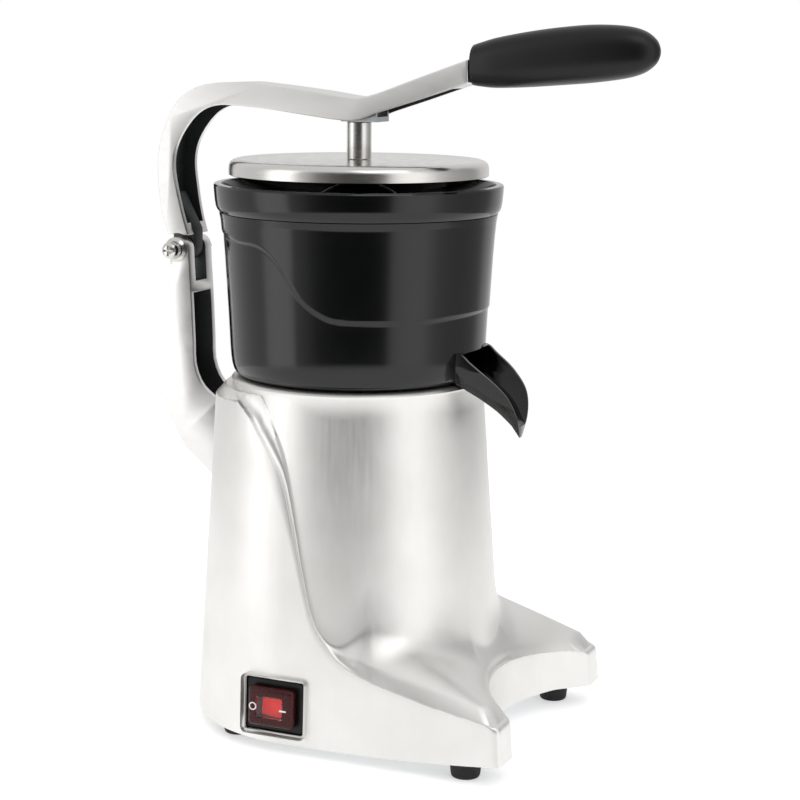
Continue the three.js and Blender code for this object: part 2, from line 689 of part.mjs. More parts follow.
// Upper (outer) and lower (inner) edges of the arm, seen from the side, from pivot to grip
const armOuter = curve([
  [pivot.y + 8, pivot.z + 10.2], [pivot.y + 12.6, pivot.z + 26], [pivot.y + 14.4, pivot.z + 46],
  [pivot.y + 14, pivot.z + 66], [pivot.y + 9.5, pivot.z + 84], [pivot.y - 2, pin.z + 3.5],
  [pivot.y - 20, pin.z + 14.6], [pivot.y - 46, pin.z + 17.8], [66, pin.z + 16.4], [30, pin.z + 12.6],
  [6, pin.z + 9.4], [-6, pin.z + 9], [-20, pin.z + 12], [-50, pin.z + 23], [armEnd, pin.z + 35.4],
], 30);
const armInner = curve([
  [pivot.y - 8.4, pivot.z + 10.2], [pivot.y - 4.4, pivot.z + 24], [pivot.y - 0.6, pivot.z + 42],
  [pivot.y + 1.6, pivot.z + 60], [pivot.y - 1, pivot.z + 74], [pivot.y - 9, pivot.z + 87.5],
  [pivot.y - 20, pivot.z + 98], [pivot.y - 34, pin.z + 1.6], [pivot.y - 56, pin.z + 1.2], [60, pin.z - 0.4],
  [30, pin.z - 4], [8, pin.z - 6.4], [-6, pin.z - 6], [-22, pin.z - 0.4], [-50, pin.z + 8.4],
  [armEnd, pin.z + 19.8],
], 30);
const armHalf = (y, z) => {
  const neck = THREE.MathUtils.smoothstep(z, pivot.z + 8, pivot.z + 60);
  const tip = THREE.MathUtils.smoothstep(-y, 0, -armEnd);
  return THREE.MathUtils.lerp(armNeckWidth, THREE.MathUtils.lerp(armWidth, armTipWidth, tip), neck) / 2;
};

// Profile with its half width following the arm, less `inset` on each side.
function armPrism(points, inset) {
  const geometry = alongX(new THREE.Shape(points), 2);
  const place = geometry.attributes.position;
  for (let i = 0; i < place.count; i += 1) {
    const half = armHalf(place.getY(i), place.getZ(i)) - inset;
    place.setX(i, place.getX(i) * half);
  }
  return solid(geometry);
}

const tangSlope = THREE.MathUtils.degToRad(10);
const tangStart = { y: armEnd + 16, z: pin.z + 25 };
function tang(clearance) {
  const geometry = box(tangWidth, tangLength + 16, tangHeight).translate(0, -(tangLength + 16) / 2, 0);
  const grown = box(tangWidth + 2 * clearance, tangLength + 16 + clearance, tangHeight + 2 * clearance)
    .translate(0, -(tangLength + 16 + clearance) / 2, 0);
  const bar = clearance > 0 ? grown : geometry;
  return solid(bar.rotateX(-tangSlope).translate(0, tangStart.y, tangStart.z));
}

const gripScrewAt = { y: gripStart - 46 };
const gripScrewZ = tangStart.z + (tangStart.y - gripScrewAt.y) * Math.tan(tangSlope);

function pressArm() {
  const body = armPrism([...armOuter, ...armInner.slice().reverse()], 0);
  const channelTop = offset(armOuter, -armWall);
  const channelLow = offset(armInner, -8);
  const channel = armPrism([...channelTop.slice(1), ...channelLow.slice(1).reverse()], armWall);
  const forward = solid(box(60, 60, 200).translate(0, armEnd - 30 + 12, tangStart.z));
  const tongue = new THREE.Shape();
  tongue.absarc(pivot.y, pivot.z, tongueRadius, Math.PI, 2 * Math.PI, false);
  tongue.lineTo(pivot.y + 8.6, pivot.z + 14);
  tongue.lineTo(pivot.y + 11, pivot.z + 40);
  tongue.lineTo(pivot.y + 5, pivot.z + 40);
  tongue.lineTo(pivot.y - tongueRadius, pivot.z + 14);
  const rib = solid(alongX(tongue, tongueWidth, 12));
  const relief = solid(rod(11.5, -30, 30, 32).rotateY(Math.PI / 2).translate(0, pivot.y, pivot.z));
  const bore = solid(rod(pivotBoreRadius, -30, 30).rotateY(Math.PI / 2).translate(0, pivot.y, pivot.z));
  const pinHole = solid(rod(stemPinRadius + gap, 0, armWidth - 3).rotateY(Math.PI / 2)
    .translate(-(armWidth - 3) / 2, pin.y, pin.z));
  const screwHole = solid(rod(2.2, -20, 3, 12).translate(0, gripScrewAt.y, gripScrewZ));
  return body.subtract(channel.subtract(forward)).subtract(relief).add(rib).add(tang(0))
    .subtract(bore).subtract(pinHole).subtract(screwHole);
}
add('press_arm', pressArm(), polishedAluminium());

const stemPin = rod(stemPinRadius, 0, armWidth - 4).rotateY(Math.PI / 2)
  .translate(-(armWidth - 4) / 2, pin.y, pin.z);
add('stem_pin', stemPin, stainless());

// Folded guide that hangs on the stem pin inside the arm and closes it around the stem
function stemGuide() {
  const low = pin.z - 7.6;
  const high = pin.z + 3.4;
  const back = stemRadius + 0.5;
  const front = -17.5;
  const middle = (back + front) / 2;
  const half = armHalf(front, pin.z) - armWall - gap - 2.2;
  const outside = box(2 * half, back - front, high - low).translate(0, middle, (low + high) / 2);
  const inside = box(2 * (half - 2), back - front + 2, 30).translate(0, middle, low + 3.4 + 15);
  const slot = box(2 * (stemRadius + 0.6), 2 * (stemRadius + 2.6), 20).translate(0, 0, low);
  const bore = rod(stemPinRadius + gap, -30, 30, 14).rotateY(Math.PI / 2);
  return solid(outside).subtract(solid(inside)).subtract(solid(slot))
    .subtract(solid(bore.translate(0, pin.y, pin.z)));
}
add('stem_guide', stemGuide(), zincSteel());

// ---------------------------------------------------------------- grip
// Turned about its length, then lifted to follow the handle's slow curve.
function handleGrip() {
  const radii = [[0, 0], [9, 0], [12.6, 1.2], [14.6, 5], [16.6, 17], [18.2, 40], [gripHalfHeight, 64],
    [18.6, 84], [16.8, 104], [13.4, 117], [8, 125], [0, gripLength]];
  const grip = turned(radii, 20).rotateX(Math.PI / 2);
  const place = grip.attributes.position;
  for (let i = 0; i < place.count; i += 1) {
    const along = THREE.MathUtils.clamp(-place.getY(i) / gripLength, 0, 1);
    place.setX(i, (place.getX(i) * gripHalfWidth) / gripHalfHeight);
    place.setZ(i, place.getZ(i) + 9.8 * Math.sin((along * Math.PI) / 2) ** 1.1);
  }
  const body = solid(grip.translate(0, gripStart, pin.z + 31.6));
  const bore = solid(rod(2.4 + gap, -30, 3, 12).translate(0, gripScrewAt.y, gripScrewZ));
  const headRoom = solid(rod(4.8, -30, -tangHeight / 2 - 4, 16).translate(0, gripScrewAt.y, gripScrewZ));
  return body.subtract(tang(gap)).subtract(bore).subtract(headRoom);
}
add('handle_grip', handleGrip(), satinBlack());

const gripScrew = turned([
  [0, -tangHeight / 2 - 7], [3.2, -tangHeight / 2 - 7], [4.2, -tangHeight / 2 - 6],
  [4.2, -tangHeight / 2 - 4 - gap - 0.1], [1.9, -tangHeight / 2 - 4 - gap - 0.1], [1.9, 2], [0, 2],
], 16).translate(0, gripScrewAt.y, gripScrewZ);
add('grip_screw', gripScrew, zincSteel());

// ---------------------------------------------------------------- bracket and pivot
function armBracket() {
  const foot = housingTop - 84;
  const rear = curve([
    [pivot.y - 36, foot - 3], [pivot.y - 23, foot + 8], [pivot.y - 7, foot + 22], [pivot.y + 4, foot + 40],
    [pivot.y + 9.6, foot + 58], [pivot.y + 10.8, foot + 80], [pivot.y + 9, pivot.z - 56],
    [pivot.y + 7, pivot.z - 34], [pivot.y + 6.6, pivot.z - 14], [pivot.y + 8, pivot.z],
  ], 22);
  const front = curve([
    [pivot.y - 9.4, pivot.z], [pivot.y - 9.8, pivot.z - 12], [pivot.y - 11.2, pivot.z - 35],
    [pivot.y - 12.4, pivot.z - 64], [pivot.y - 13, pivot.z - 82], [pivot.y - 18, pivot.z - 95],
    [pivot.y - 26, foot + 63], [pivot.y - 36, foot + 58], [pivot.y - 50, foot + 57],
  ], 18);
  const shape = new THREE.Shape(rear);
  shape.absarc(pivot.y - 0.7, pivot.z, 8.7, 0, Math.PI, false);
  for (const point of front) shape.lineTo(point.x, point.y);
  shape.lineTo(pivot.y - 50, foot - 3);
  const webLow = pivot.z - 31;
  const hollow = new THREE.Shape([
    ...offset(rear, -bracketWall).filter((p) => p.y > foot + 46 && p.y < webLow),
    new THREE.Vector2(pivot.y + 2, webLow), new THREE.Vector2(pivot.y - 30, webLow),
    new THREE.Vector2(pivot.y - 44, foot + 46),
  ]);
  const slot = box(forkSlot, 60, 60).translate(0, pivot.y, pivot.z - 23 + 30);
  const bore = rod(pivotScrewRadius + gap, -30, 30).rotateY(Math.PI / 2).translate(0, pivot.y, pivot.z);
  const clear = skirtPrism(-gap, sillBack, housingTop + 10)
    .add(solid(rod(columnTopRadius + 9, foot, housingTop + 1, 48)));
  let body = solid(alongX(shape, bracketWidth, 12))
    .subtract(solid(alongX(hollow, bracketWidth - 2 * bracketWall)))
    .subtract(solid(slot)).subtract(solid(bore)).subtract(clear);
  for (const z of Object.values(bracketBolts)) {
    const thread = lengthwise(rod(bracketBoltRadius + gap, 0, 26, 16));
    body = body.subtract(solid(thread.translate(0, backWall(z) - 12, z)));
  }
  return body;
}
add('arm_bracket', armBracket(), castAluminium());

for (const [name, z] of Object.entries(bracketBolts)) {
  const bolt = turned([
    [0, -4], [4.5, -4], [4.5, 0], [bracketBoltRadius, 0], [bracketBoltRadius, wall + 10], [0, wall + 10],
  ], 16);
  add(name, lengthwise(bolt).translate(0, backWall(z) - wall - 0.9, z), zincSteel());
}

const side = (geometry) => geometry.rotateY(-Math.PI / 2).translate(0, pivot.y, pivot.z);
const cheek = bracketWidth / 2;
const pivotScrew = turned([
  [0, -cheek - 7.5], [pivotScrewRadius - 0.6, -cheek - 7.5], [pivotScrewRadius, -cheek - 7],
  [pivotScrewRadius, cheek + gap], [8.8, cheek + gap], [8.8, cheek + 1.6], [6.4, cheek + 3.6],
  [6.4, cheek + 8.4], [5.6, cheek + 10.8], [3.4, cheek + 12.4], [0, cheek + 12.8],
], 18);
add('pivot_screw', side(pivotScrew), stainless());
const pivotNut = hexNut(pivotScrewRadius + gap, 7, -cheek - gap - 5, -cheek - gap);
add('pivot_nut', side(pivotNut), zincSteel());

const washerAt = (tongueWidth / 2 + forkSlot / 2) / 2;
for (const [name, sign] of [['pivot_washer_left', 1], ['pivot_washer_right', -1]]) {
  const low = sign * washerAt - washerThickness / 2;
  add(name, side(ring(pivotScrewRadius + gap, 7.6, low, low + washerThickness, 16)), blackPlastic());
}

// ---------------------------------------------------------------- switch
const plateOut = recessDepth - switchPlate.thickness - gap;
const plateBody = solid(box(switchPlate.thickness, switchPlate.width, switchPlate.height))
  .subtract(solid(box(10, switchOpening.width - 2, switchOpening.height - 2)));
const plateMesh = add('switch_plate', plateBody, satinBlack(), switchGroup);
plateMesh.position.x = plateOut + switchPlate.thickness / 2;

// Switch body: a cup behind the plate, open towards the rocker
const bodyWidth = switchOpening.width - 2.6;
const bodyHeight = switchOpening.height - 2.6;
const bodyFront = 0.4;
const bodyDeep = 26;
const switchBody = solid(box(bodyDeep, bodyWidth, bodyHeight).translate(bodyFront + bodyDeep / 2, 0, 0))
  .subtract(solid(box(20, rockerSize.width + 2, rockerSize.height + 1.2).translate(bodyFront - 2, 0, 0)));
add('switch_body', switchBody, satinBlack(), switchGroup);

// Rocker: a wedge-backed button that tips about the wall's upright line, shown switched off
const rockerShape = outline([
  [-rockerSize.width / 2, 0], [-rockerSize.width / 2 + 2, rockerSize.depth - 2], [0, rockerSize.depth],
  [rockerSize.width / 2 - 2, rockerSize.depth - 2], [rockerSize.width / 2, 0], [0, -2.2],
]);
const rocker = upright(rockerShape, -rockerSize.height / 2, rockerSize.height / 2);
rocker.applyMatrix4(new THREE.Matrix4().makeBasis(
  new THREE.Vector3(0, 1, 0), new THREE.Vector3(1, 0, 0), new THREE.Vector3(0, 0, -1)));
const rockerMesh = add('rocker_button', rocker, redPlastic(), switchGroup);
rockerMesh.position.x = 1.4;
rockerMesh.rotation.z = -rockerTilt;

// Splash cover: a clear red cap over the rocker, open at the back
const coverInside = box(
  coverSize.depth, coverSize.width - 2 * coverSize.wall, coverSize.height - 2 * coverSize.wall);
const coverBody = solid(box(coverSize.depth, coverSize.width, coverSize.height))
  .subtract(solid(coverInside.translate(coverSize.wall, 0, 0)));
const coverMesh = add('switch_cover', coverBody, darkRedPlastic(), switchGroup);
coverMesh.position.x = plateOut - gap - coverSize.depth / 2;

// ---------------------------------------------------------------- place on the origin
const bounds = new THREE.Box3().setFromObject(press);
press.position.y = -(bounds.min.y + bounds.max.y) / 2;
press.position.x = -(bounds.min.x + bounds.max.x) / 2;
press.updateMatrixWorld(true);

export default press;
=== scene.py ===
# Lever citrus press: a cast housing with a motor inside, a black juice bowl with a spout, and a
# hinged arm that presses a steel lid and a cup down over a turning cone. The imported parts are
# the fixed frame, and each section below makes one piece, or a few like pieces, around them.
import json
import math

import bpy
from mathutils import Matrix, Vector


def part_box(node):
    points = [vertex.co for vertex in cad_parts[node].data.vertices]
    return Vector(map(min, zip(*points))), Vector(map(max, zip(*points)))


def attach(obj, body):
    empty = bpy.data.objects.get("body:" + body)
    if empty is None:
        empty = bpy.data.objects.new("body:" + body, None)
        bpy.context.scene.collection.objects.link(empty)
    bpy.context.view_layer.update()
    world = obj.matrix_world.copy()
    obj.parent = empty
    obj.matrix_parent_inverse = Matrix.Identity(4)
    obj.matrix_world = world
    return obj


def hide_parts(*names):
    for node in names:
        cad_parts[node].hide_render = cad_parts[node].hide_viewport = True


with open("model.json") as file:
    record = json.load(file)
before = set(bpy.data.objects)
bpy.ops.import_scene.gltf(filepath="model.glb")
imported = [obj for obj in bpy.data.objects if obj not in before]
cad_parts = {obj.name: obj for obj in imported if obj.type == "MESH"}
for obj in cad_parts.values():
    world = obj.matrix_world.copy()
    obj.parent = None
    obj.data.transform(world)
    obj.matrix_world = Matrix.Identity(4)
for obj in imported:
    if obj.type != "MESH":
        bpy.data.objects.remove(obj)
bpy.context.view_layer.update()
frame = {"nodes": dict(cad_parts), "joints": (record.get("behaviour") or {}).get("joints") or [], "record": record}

# ---------------------------------------------------------------- camera, floor and light
# A long lens looks a little down on the switch side from about a metre and a half. The floor
# is pale and plain. The light is a white tent, bright on both sides and dark by the lens, and
# one soft lamp above.
joint = {j["name"]: Vector(j["pos_m"]) for j in frame["joints"]}
axis_x, axis_y = joint["reamer_spin"].xy


def at(x, y, z):
    """Millimetres from the column's axis and the floor, as a point of the frame in metres."""
    return Vector((axis_x + x / 1000, axis_y + y / 1000, z / 1000))


def linear(colour):
    """sRGB hex colour as linear red, green, blue and alpha."""
    parts = [int(colour[i:i + 2], 16) / 255 for i in (1, 3, 5)]
    return [p / 12.92 if p <= 0.04045 else ((p + 0.055) / 1.055) ** 2.4 for p in parts] + [1.0]


def node(tree, kind, inputs=None, **settings):
    """Adds a node with its settings, its socket values, and its links from other nodes."""
    made = tree.nodes.new(kind)
    for name, value in settings.items():
        setattr(made, name, value)
    for socket, value in (inputs or {}).items():
        if isinstance(value, bpy.types.NodeSocket):
            tree.links.new(value, made.inputs[socket])
        else:
            made.inputs[socket].default_value = value
    return made


lens_data = bpy.data.cameras.new("camera")
lens_data.lens = 89.01
lens_data.sensor_width = 36
camera = bpy.data.objects.new("camera", lens_data)
bpy.context.scene.collection.objects.link(camera)
look = Vector((0.9013, 0.3942, -0.1797)).normalized()
level = look.cross(Vector((0, 0, 1))).normalized()
upward = level.cross(look)
roll = math.radians(0.5)
lens_place = at(-1243.7, -576.3, 479.0)
across = level * math.cos(roll) + upward * math.sin(roll)
upright = upward * math.cos(roll) - level * math.sin(roll)
camera.matrix_world = Matrix.Translation(lens_place) @ Matrix(
    (across, upright, -look)).transposed().to_4x4()
bpy.context.scene.camera = camera
bpy.context.scene.view_settings.view_transform = "Standard"

bpy.ops.object.select_all(action="DESELECT")
bpy.ops.mesh.primitive_circle_add(vertices=96, radius=0.95, fill_type="NGON")
floor = bpy.context.object
floor.name = "floor"
floor_paper = bpy.data.materials.new("white_paper_sweep")
floor_paper.use_nodes = True
paper = floor_paper.node_tree.nodes["Principled BSDF"]
paper.inputs["Base Color"].default_value = linear("#f4f4f4")
paper.inputs["Roughness"].default_value = 0.9
paper.inputs["Specular IOR Level"].default_value = 0.1
paper.inputs["Emission Color"].default_value = linear("#ffffff")
paper.inputs["Emission Strength"].default_value = 0.45
floor.data.materials.append(floor_paper)

# Brightness of the tent at each angle round the press, from the lens, in degrees
tent = [(-180, 0.8), (-136, 0.8), (-95, 0.75), (-84, 1.5), (-64, 1.8), (-55, 0.8), (-44, 0.5),
        (-28, 0.15), (-14, 0.08), (12, 0.08), (22, 0.2), (34, 1.15), (52, 1.35), (64, 1.1),
        (76, 0.7), (104, 0.42), (122, 0.4), (138, 0.7), (180, 0.8)]
world = bpy.data.worlds.new("tent")
bpy.context.scene.world = world
world.use_nodes = True
sky = world.node_tree
sky.nodes.clear()
toward_lens = math.atan2(-look.y, -look.x)
way = node(sky, "ShaderNodeTexCoord")
turned_way = node(sky, "ShaderNodeMapping", {"Vector": way.outputs["Generated"],
                                             "Rotation": (0, 0, -toward_lens)})
split = node(sky, "ShaderNodeSeparateXYZ", {"Vector": turned_way.outputs["Vector"]})
angle = node(sky, "ShaderNodeMath", {0: split.outputs["Y"], 1: split.outputs["X"]},
             operation="ARCTAN2")
share = node(sky, "ShaderNodeMapRange", {"Value": angle.outputs[0], "From Min": -math.pi,
                                         "From Max": math.pi})
ramp = node(sky, "ShaderNodeFloatCurve", {"Value": share.outputs[0]})
strip = ramp.mapping.curves[0]
brightest = 2.4
for degrees, brightness in tent[1:-1]:
    strip.points.new((degrees + 180) / 360, brightness / brightest)
strip.points[0].location = (0, tent[0][1] / brightest)
strip.points[-1].location = (1, tent[-1][1] / brightest)
ramp.mapping.update()
walls = node(sky, "ShaderNodeMath", {0: ramp.outputs[0], 1: brightest}, operation="MULTIPLY")
height = node(sky, "ShaderNodeMapRange", {"Value": split.outputs["Z"], "From Min": 0.35,
                                          "From Max": 0.8}, interpolation_type="SMOOTHSTEP")
above = node(sky, "ShaderNodeMix", {0: height.outputs[0], 2: walls.outputs[0], 3: 0.8})
rays = node(sky, "ShaderNodeLightPath")
seen = node(sky, "ShaderNodeMix", {0: rays.outputs["Is Camera Ray"], 2: above.outputs[0], 3: 1.0})
glow = node(sky, "ShaderNodeBackground", {"Color": linear("#ffffff"),
                                          "Strength": seen.outputs[0]})
node(sky, "ShaderNodeOutputWorld", {"Surface": glow.outputs[0]})

key_data = bpy.data.lights.new("key", "AREA")
key_data.energy = 9
key_data.size = 1.6
key = bpy.data.objects.new("key", key_data)
bpy.context.scene.collection.objects.link(key)
key.location = (-1.0, -1.2, 2.2)
key.rotation_euler = Vector((1.0, 1.2, -2.0)).to_track_quat("-Z", "Y").to_euler()

# ---------------------------------------------------------------- housing
# One aluminium casting, four millimetres thick and open below: a tapered round column, a skirt
# that wraps its back and sides, and two low legs with a round bay between them for a glass.
housing_top = 248
column_foot, column_head = 98.6, 87.3
skirt_radius, skirt_back = 104.5, 10
leg_front = 151
bay_radius, bay_centre = 103, -215
wall = 4
shaft_hole, shaft_boss = 12, 60
side_lean, back_lean, front_lean = 0.045, 0.065, 0.08
# In plan the side walls draw in by one in side_taper towards the front
side_taper, side_inset = 156, 0.064
leg_round, bay_round = 7, 3
sill_back, sill_rise, bay_lift = 8, 9.5, 2.5
crown, deck_half = 28, 103.5
swell_from_side, swell_from_bay = 14, 22
roof = 6
edge_round, leg_edge_round = 0.8, 3.6
deck_fillet, back_stretch = 15.0, 1.4
# Height of the skirt's upper edge by distance behind the axis, from the legs to the back
skirt_edge = [(-leg_front, 40.5), (-107, 48), (-79, 54), (-53, 61), (-35, 69), (-21, 82), (-12.7, 96),
              (-7, 116), (-0.5, 143), (6, 169), (14, 193), (30, 216), (45, 232), (76, 250)]


def smoothstep(value, low, high):
    """Eases from 0 to 1 as the value goes from low to high."""
    t = min(max((value - low) / (high - low), 0.0), 1.0)
    return t * t * (3 - 2 * t)


def smoothest(a, b, blend):
    """The lesser of two lengths, with the corner between them rounded off."""
    near = max(blend - abs(a - b), 0.0) / blend
    return min(a, b) - near * near * blend / 4


def spline(points, samples):
    """Smooth curve through a few points, as many evenly spaced samples of it."""
    ends = [points[0], *points, points[-1]]
    made = []
    for i in range(samples + 1):
        place = i / samples * (len(points) - 1)
        k = min(int(place), len(points) - 2)
        t = place - k
        a, b, c, d = ends[k:k + 4]
        made.append(tuple(
            0.5 * (2 * q + (r - p) * t + (2 * p - 5 * q + 4 * r - s) * t * t
                   + (3 * q - p - 3 * r + s) * t ** 3)
            for p, q, r, s in zip(a, b, c, d)))
    return made


def level_of(curve, value):
    """Second coordinate of a curve where its first, which only grows, has this value."""
    if value <= curve[0][0]:
        return curve[0][1]
    for (a, low), (b, high) in zip(curve, curve[1:]):
        if value <= b:
            return low + (high - low) * (value - a) / (b - a) if b > a else high
    return curve[-1][1]


def column_radius(z):
    return column_foot - (column_foot - column_head) * (z - 100) / (housing_top - 100)


def plan_radius(turn, z):
    """How far the skirt's wall is from the axis at this angle and height."""
    lean = back_lean / (skirt_radius + skirt_back) if math.sin(turn) > 0 else front_lean / leg_front
    x = math.cos(turn) / (1 - side_lean * (z - sill_back) / skirt_radius)
    y = math.sin(turn) / (1 - lean * (z - sill_back))
    size = math.hypot(x, y)
    x, y = x / size, y / size
    reach = (skirt_radius - side_inset) / max(abs(x) - y / side_taper, 1e-6)
    if y > 0 and (reach * y > skirt_back or abs(x) < 0.1):
        reach = skirt_back * y + math.sqrt(skirt_radius ** 2 - (skirt_back * x) ** 2)
    if y < 0:
        reach = smoothest(reach, leg_front / -y, leg_round)
        past = (bay_centre * y) ** 2 - (bay_centre ** 2 - bay_radius ** 2)
        if past > 0:
            reach = smoothest(reach, bay_centre * y - math.sqrt(past), bay_round)
    return reach / size


edge_curve = spline(skirt_edge, 120)


def deck_height(x, y):
    """Height of the rounded deck between the skirt's edge and the column."""
    inward = max(0.0, deck_half - abs(x))
    from_bay = max(0.0, math.hypot(x, y - bay_centre) - bay_radius)
    swell = (1 - math.exp(-inward / swell_from_side)) * (1 - math.exp(-from_bay / swell_from_bay))
    return level_of(edge_curve, y) + crown * swell * smoothstep(-y, 20, 50)


def sill_height(turn, y):
    """Height of the casting's lower edge, which rises towards the legs and over the bay."""
    forward = min(max((-20 - y) / leg_front, 0.0), 1.0)
    in_bay = smoothstep(abs(math.degrees(turn) % 360 - 270), 29, 24)
    return sill_back + sill_rise * forward ** 1.9 + bay_lift * in_bay


def shoulder_radius(z):
    """Widest that the casting can be near its top, where the skirt turns in under the bowl."""
    return level_of([(housing_top - 32, 200), (housing_top - 22, 107), (housing_top - 10, 96.5),
                     (housing_top - 5, 91), (housing_top - 2, 88), (housing_top, 82)], z)


def housing_section(turn):
    """The casting cut by a half plane from the axis: (radius, height) round its whole wall."""
    low_radius = plan_radius(turn, 12)
    low = sill_height(turn, low_radius * math.sin(turn))
    top = low + 1
    for _ in range(400):
        reach = plan_radius(turn, top)
        edge = level_of(edge_curve, reach * math.sin(turn))
        if top >= edge or reach >= shoulder_radius(top):
            break
        top += 0.6
    reach = plan_radius(turn, top)
    at_leg = smoothstep(-reach * math.sin(turn), leg_front - 13, leg_front - 3)
    lip = edge_round + leg_edge_round * at_leg
    outer = [(plan_radius(turn, low + (top - lip - low) * i / 9),
              low + (top - lip - low) * i / 9, "wall") for i in range(10)]
    for i in (1, 2, 3, 4):
        a = math.pi / 8 * i
        outer.append((plan_radius(turn, top - lip) - lip * (1 - math.cos(a)),
                      top - lip * (1 - math.sin(a)), "wall"))
    start = outer[-1][0]
    column_meet = column_radius(top)
    for _ in range(4):
        deck = deck_height(column_meet * math.cos(turn), column_meet * math.sin(turn))
        column_meet = column_radius(min(max(deck, top), housing_top))
    width = max(start - column_meet, 0.0)
    fillet = min(deck_fillet, width * 0.9)
    for i in range(1, 17):
        share_in = (i / 16) ** 0.8
        r = start - width * share_in
        z = max(deck_height(r * math.cos(turn), r * math.sin(turn)), top)
        z = top + (z - top) * smoothstep(start - r, 0, 3)
        gap = r - column_meet
        if gap < fillet:
            rise = fillet - math.sqrt(max(fillet ** 2 - (fillet - gap) ** 2, 0.0))
            tall = (1 - smoothstep(width, 7, 26)) * smoothstep(r * math.sin(turn), -10, 25)
            z += rise * (1 + back_stretch * tall)
        z = min(z, housing_top - roof)
        outer.append((min(r, shoulder_radius(z)), z, "deck"))
    foot = outer[-1][1]
    for i in range(1, 13):
        z = foot + (housing_top - 4 - foot) * i / 12
        outer.append((min(column_radius(z), shoulder_radius(z), outer[-1][0]), z, "wall"))
    outer += [(88.4, housing_top - 2.2, "wall"), (87.2, housing_top - 0.8, "wall"),
              (85.4, housing_top, "top"), (shaft_boss, housing_top, "top"),
              (shaft_hole, housing_top, "top")]
    inner = []
    for r, z, kind in reversed(outer):
        if kind == "top":
            inner.append((max(min(r, 80), shaft_hole), housing_top - roof))
        elif kind == "deck":
            inner.append((max(r - wall, shaft_boss), z - wall - 1))
        else:
            inner.append((r - wall, min(z, top - 7 if z <= top else housing_top - roof)))
    return [(r, z) for r, z, _ in outer] + inner


def turns_by_length(count):
    """Angles round the skirt's plan that space its sections evenly along the wall."""
    fine = [2 * math.pi * i / 7200 for i in range(7201)]
    reaches = [plan_radius(a, 20) for a in fine]
    spots = [(r * math.cos(a), r * math.sin(a)) for a, r in zip(fine, reaches)]
    run = [0.0]
    for p, q in zip(spots, spots[1:]):
        run.append(run[-1] + math.dist(p, q))
    chosen, k = [], 0
    for i in range(count):
        while run[k] < run[-1] * i / count:
            k += 1
        chosen.append(fine[k])
    return chosen


def draped(name, columns, rows, place):
    """A grid moved point by point to place(column, row) in metres, its seams closed."""
    bpy.ops.object.select_all(action="DESELECT")
    bpy.ops.mesh.primitive_grid_add(x_subdivisions=columns - 1, y_subdivisions=rows - 1, size=1)
    piece = bpy.context.object
    piece.name = name
    for vertex in piece.data.vertices:
        column = round((vertex.co.x + 0.5) * (columns - 1))
        row = round((vertex.co.y + 0.5) * (rows - 1))
        vertex.co = place(column, row)
    bpy.ops.object.mode_set(mode="EDIT")
    bpy.ops.mesh.select_all(action="SELECT")
    bpy.ops.mesh.remove_doubles(threshold=2e-6)
    bpy.ops.mesh.normals_make_consistent(inside=False)
    bpy.ops.object.mode_set(mode="OBJECT")
    return piece


def smooth(piece, degrees):
    bpy.ops.object.select_all(action="DESELECT")
    piece.select_set(True)
    bpy.context.view_layer.objects.active = piece
    bpy.ops.object.shade_smooth_by_angle(angle=math.radians(degrees))


def boolean(piece, tool, operation="DIFFERENCE"):
    """Cuts the tool from the piece, or joins it on, and removes the tool."""
    bpy.context.view_layer.objects.active = piece
    change = piece.modifiers.new("change", "BOOLEAN")
    change.operation = operation
    change.solver = "EXACT"
    if tool.data.materials:
        change.material_mode = "TRANSFER"
    change.object = tool
    bpy.ops.object.modifier_apply(modifier=change.name)
    bpy.data.objects.remove(tool)


def block(name, centre, size, rotation=(0, 0, 0), round_x=0.0):
    """Box in millimetres; its edges along X can be rounded."""
    bpy.ops.object.select_all(action="DESELECT")
    bpy.ops.mesh.primitive_cube_add(size=1, location=centre, rotation=rotation)
    piece = bpy.context.object
    piece.name = name
    piece.scale = [s / 1000 for s in size]
    bpy.ops.object.transform_apply(location=False, rotation=False, scale=True)
    if round_x:
        bpy.ops.object.mode_set(mode="EDIT")
        bpy.ops.mesh.select_all(action="DESELECT")
        bpy.ops.object.mode_set(mode="OBJECT")
        for edge in piece.data.edges:
            a, b = (piece.data.vertices[v].co for v in edge.vertices)
            edge.select = abs((a - b).x) > 1e-6
        bpy.ops.object.mode_set(mode="EDIT")
        bpy.ops.mesh.select_mode(type="EDGE")
        bpy.ops.mesh.bevel(offset=round_x / 1000, segments=6)
        bpy.ops.mesh.select_mode(type="VERT")
        bpy.ops.object.mode_set(mode="OBJECT")
    bpy.ops.object.transform_apply(location=True, rotation=True, scale=True)
    return piece


def bevelled(piece, width, degrees, segments):
    """Rounds every edge sharper than the angle, by a width in millimetres."""
    bpy.context.view_layer.objects.active = piece
    rounding = piece.modifiers.new("rounding", "BEVEL")
    rounding.width = width / 1000
    rounding.segments = segments
    rounding.limit_method = "ANGLE"
    rounding.angle_limit = math.radians(degrees)
    bpy.ops.object.modifier_apply(modifier=rounding.name)


def rod(name, start, end, radius, vertices=48):
    """Round bar from one point to another, radius in millimetres."""
    run = end - start
    bpy.ops.object.select_all(action="DESELECT")
    bpy.ops.mesh.primitive_cylinder_add(
        vertices=vertices, radius=radius / 1000, depth=run.length, location=(start + end) / 2,
        rotation=run.to_track_quat("Z", "Y").to_euler())
    piece = bpy.context.object
    piece.name = name
    bpy.ops.object.transform_apply(location=True, rotation=True, scale=True)
    return piece


columns = 420
section_turns = turns_by_length(columns)
sections = [housing_section(turn) for turn in section_turns]
rows = len(sections[0]) + 1


def housing_point(column, row):
    turn = section_turns[column % columns]
    r, z = sections[column % columns][row % (rows - 1)]
    return at(r * math.cos(turn), r * math.sin(turn), z)


housing = draped("housing_casting", columns + 1, rows, housing_point)

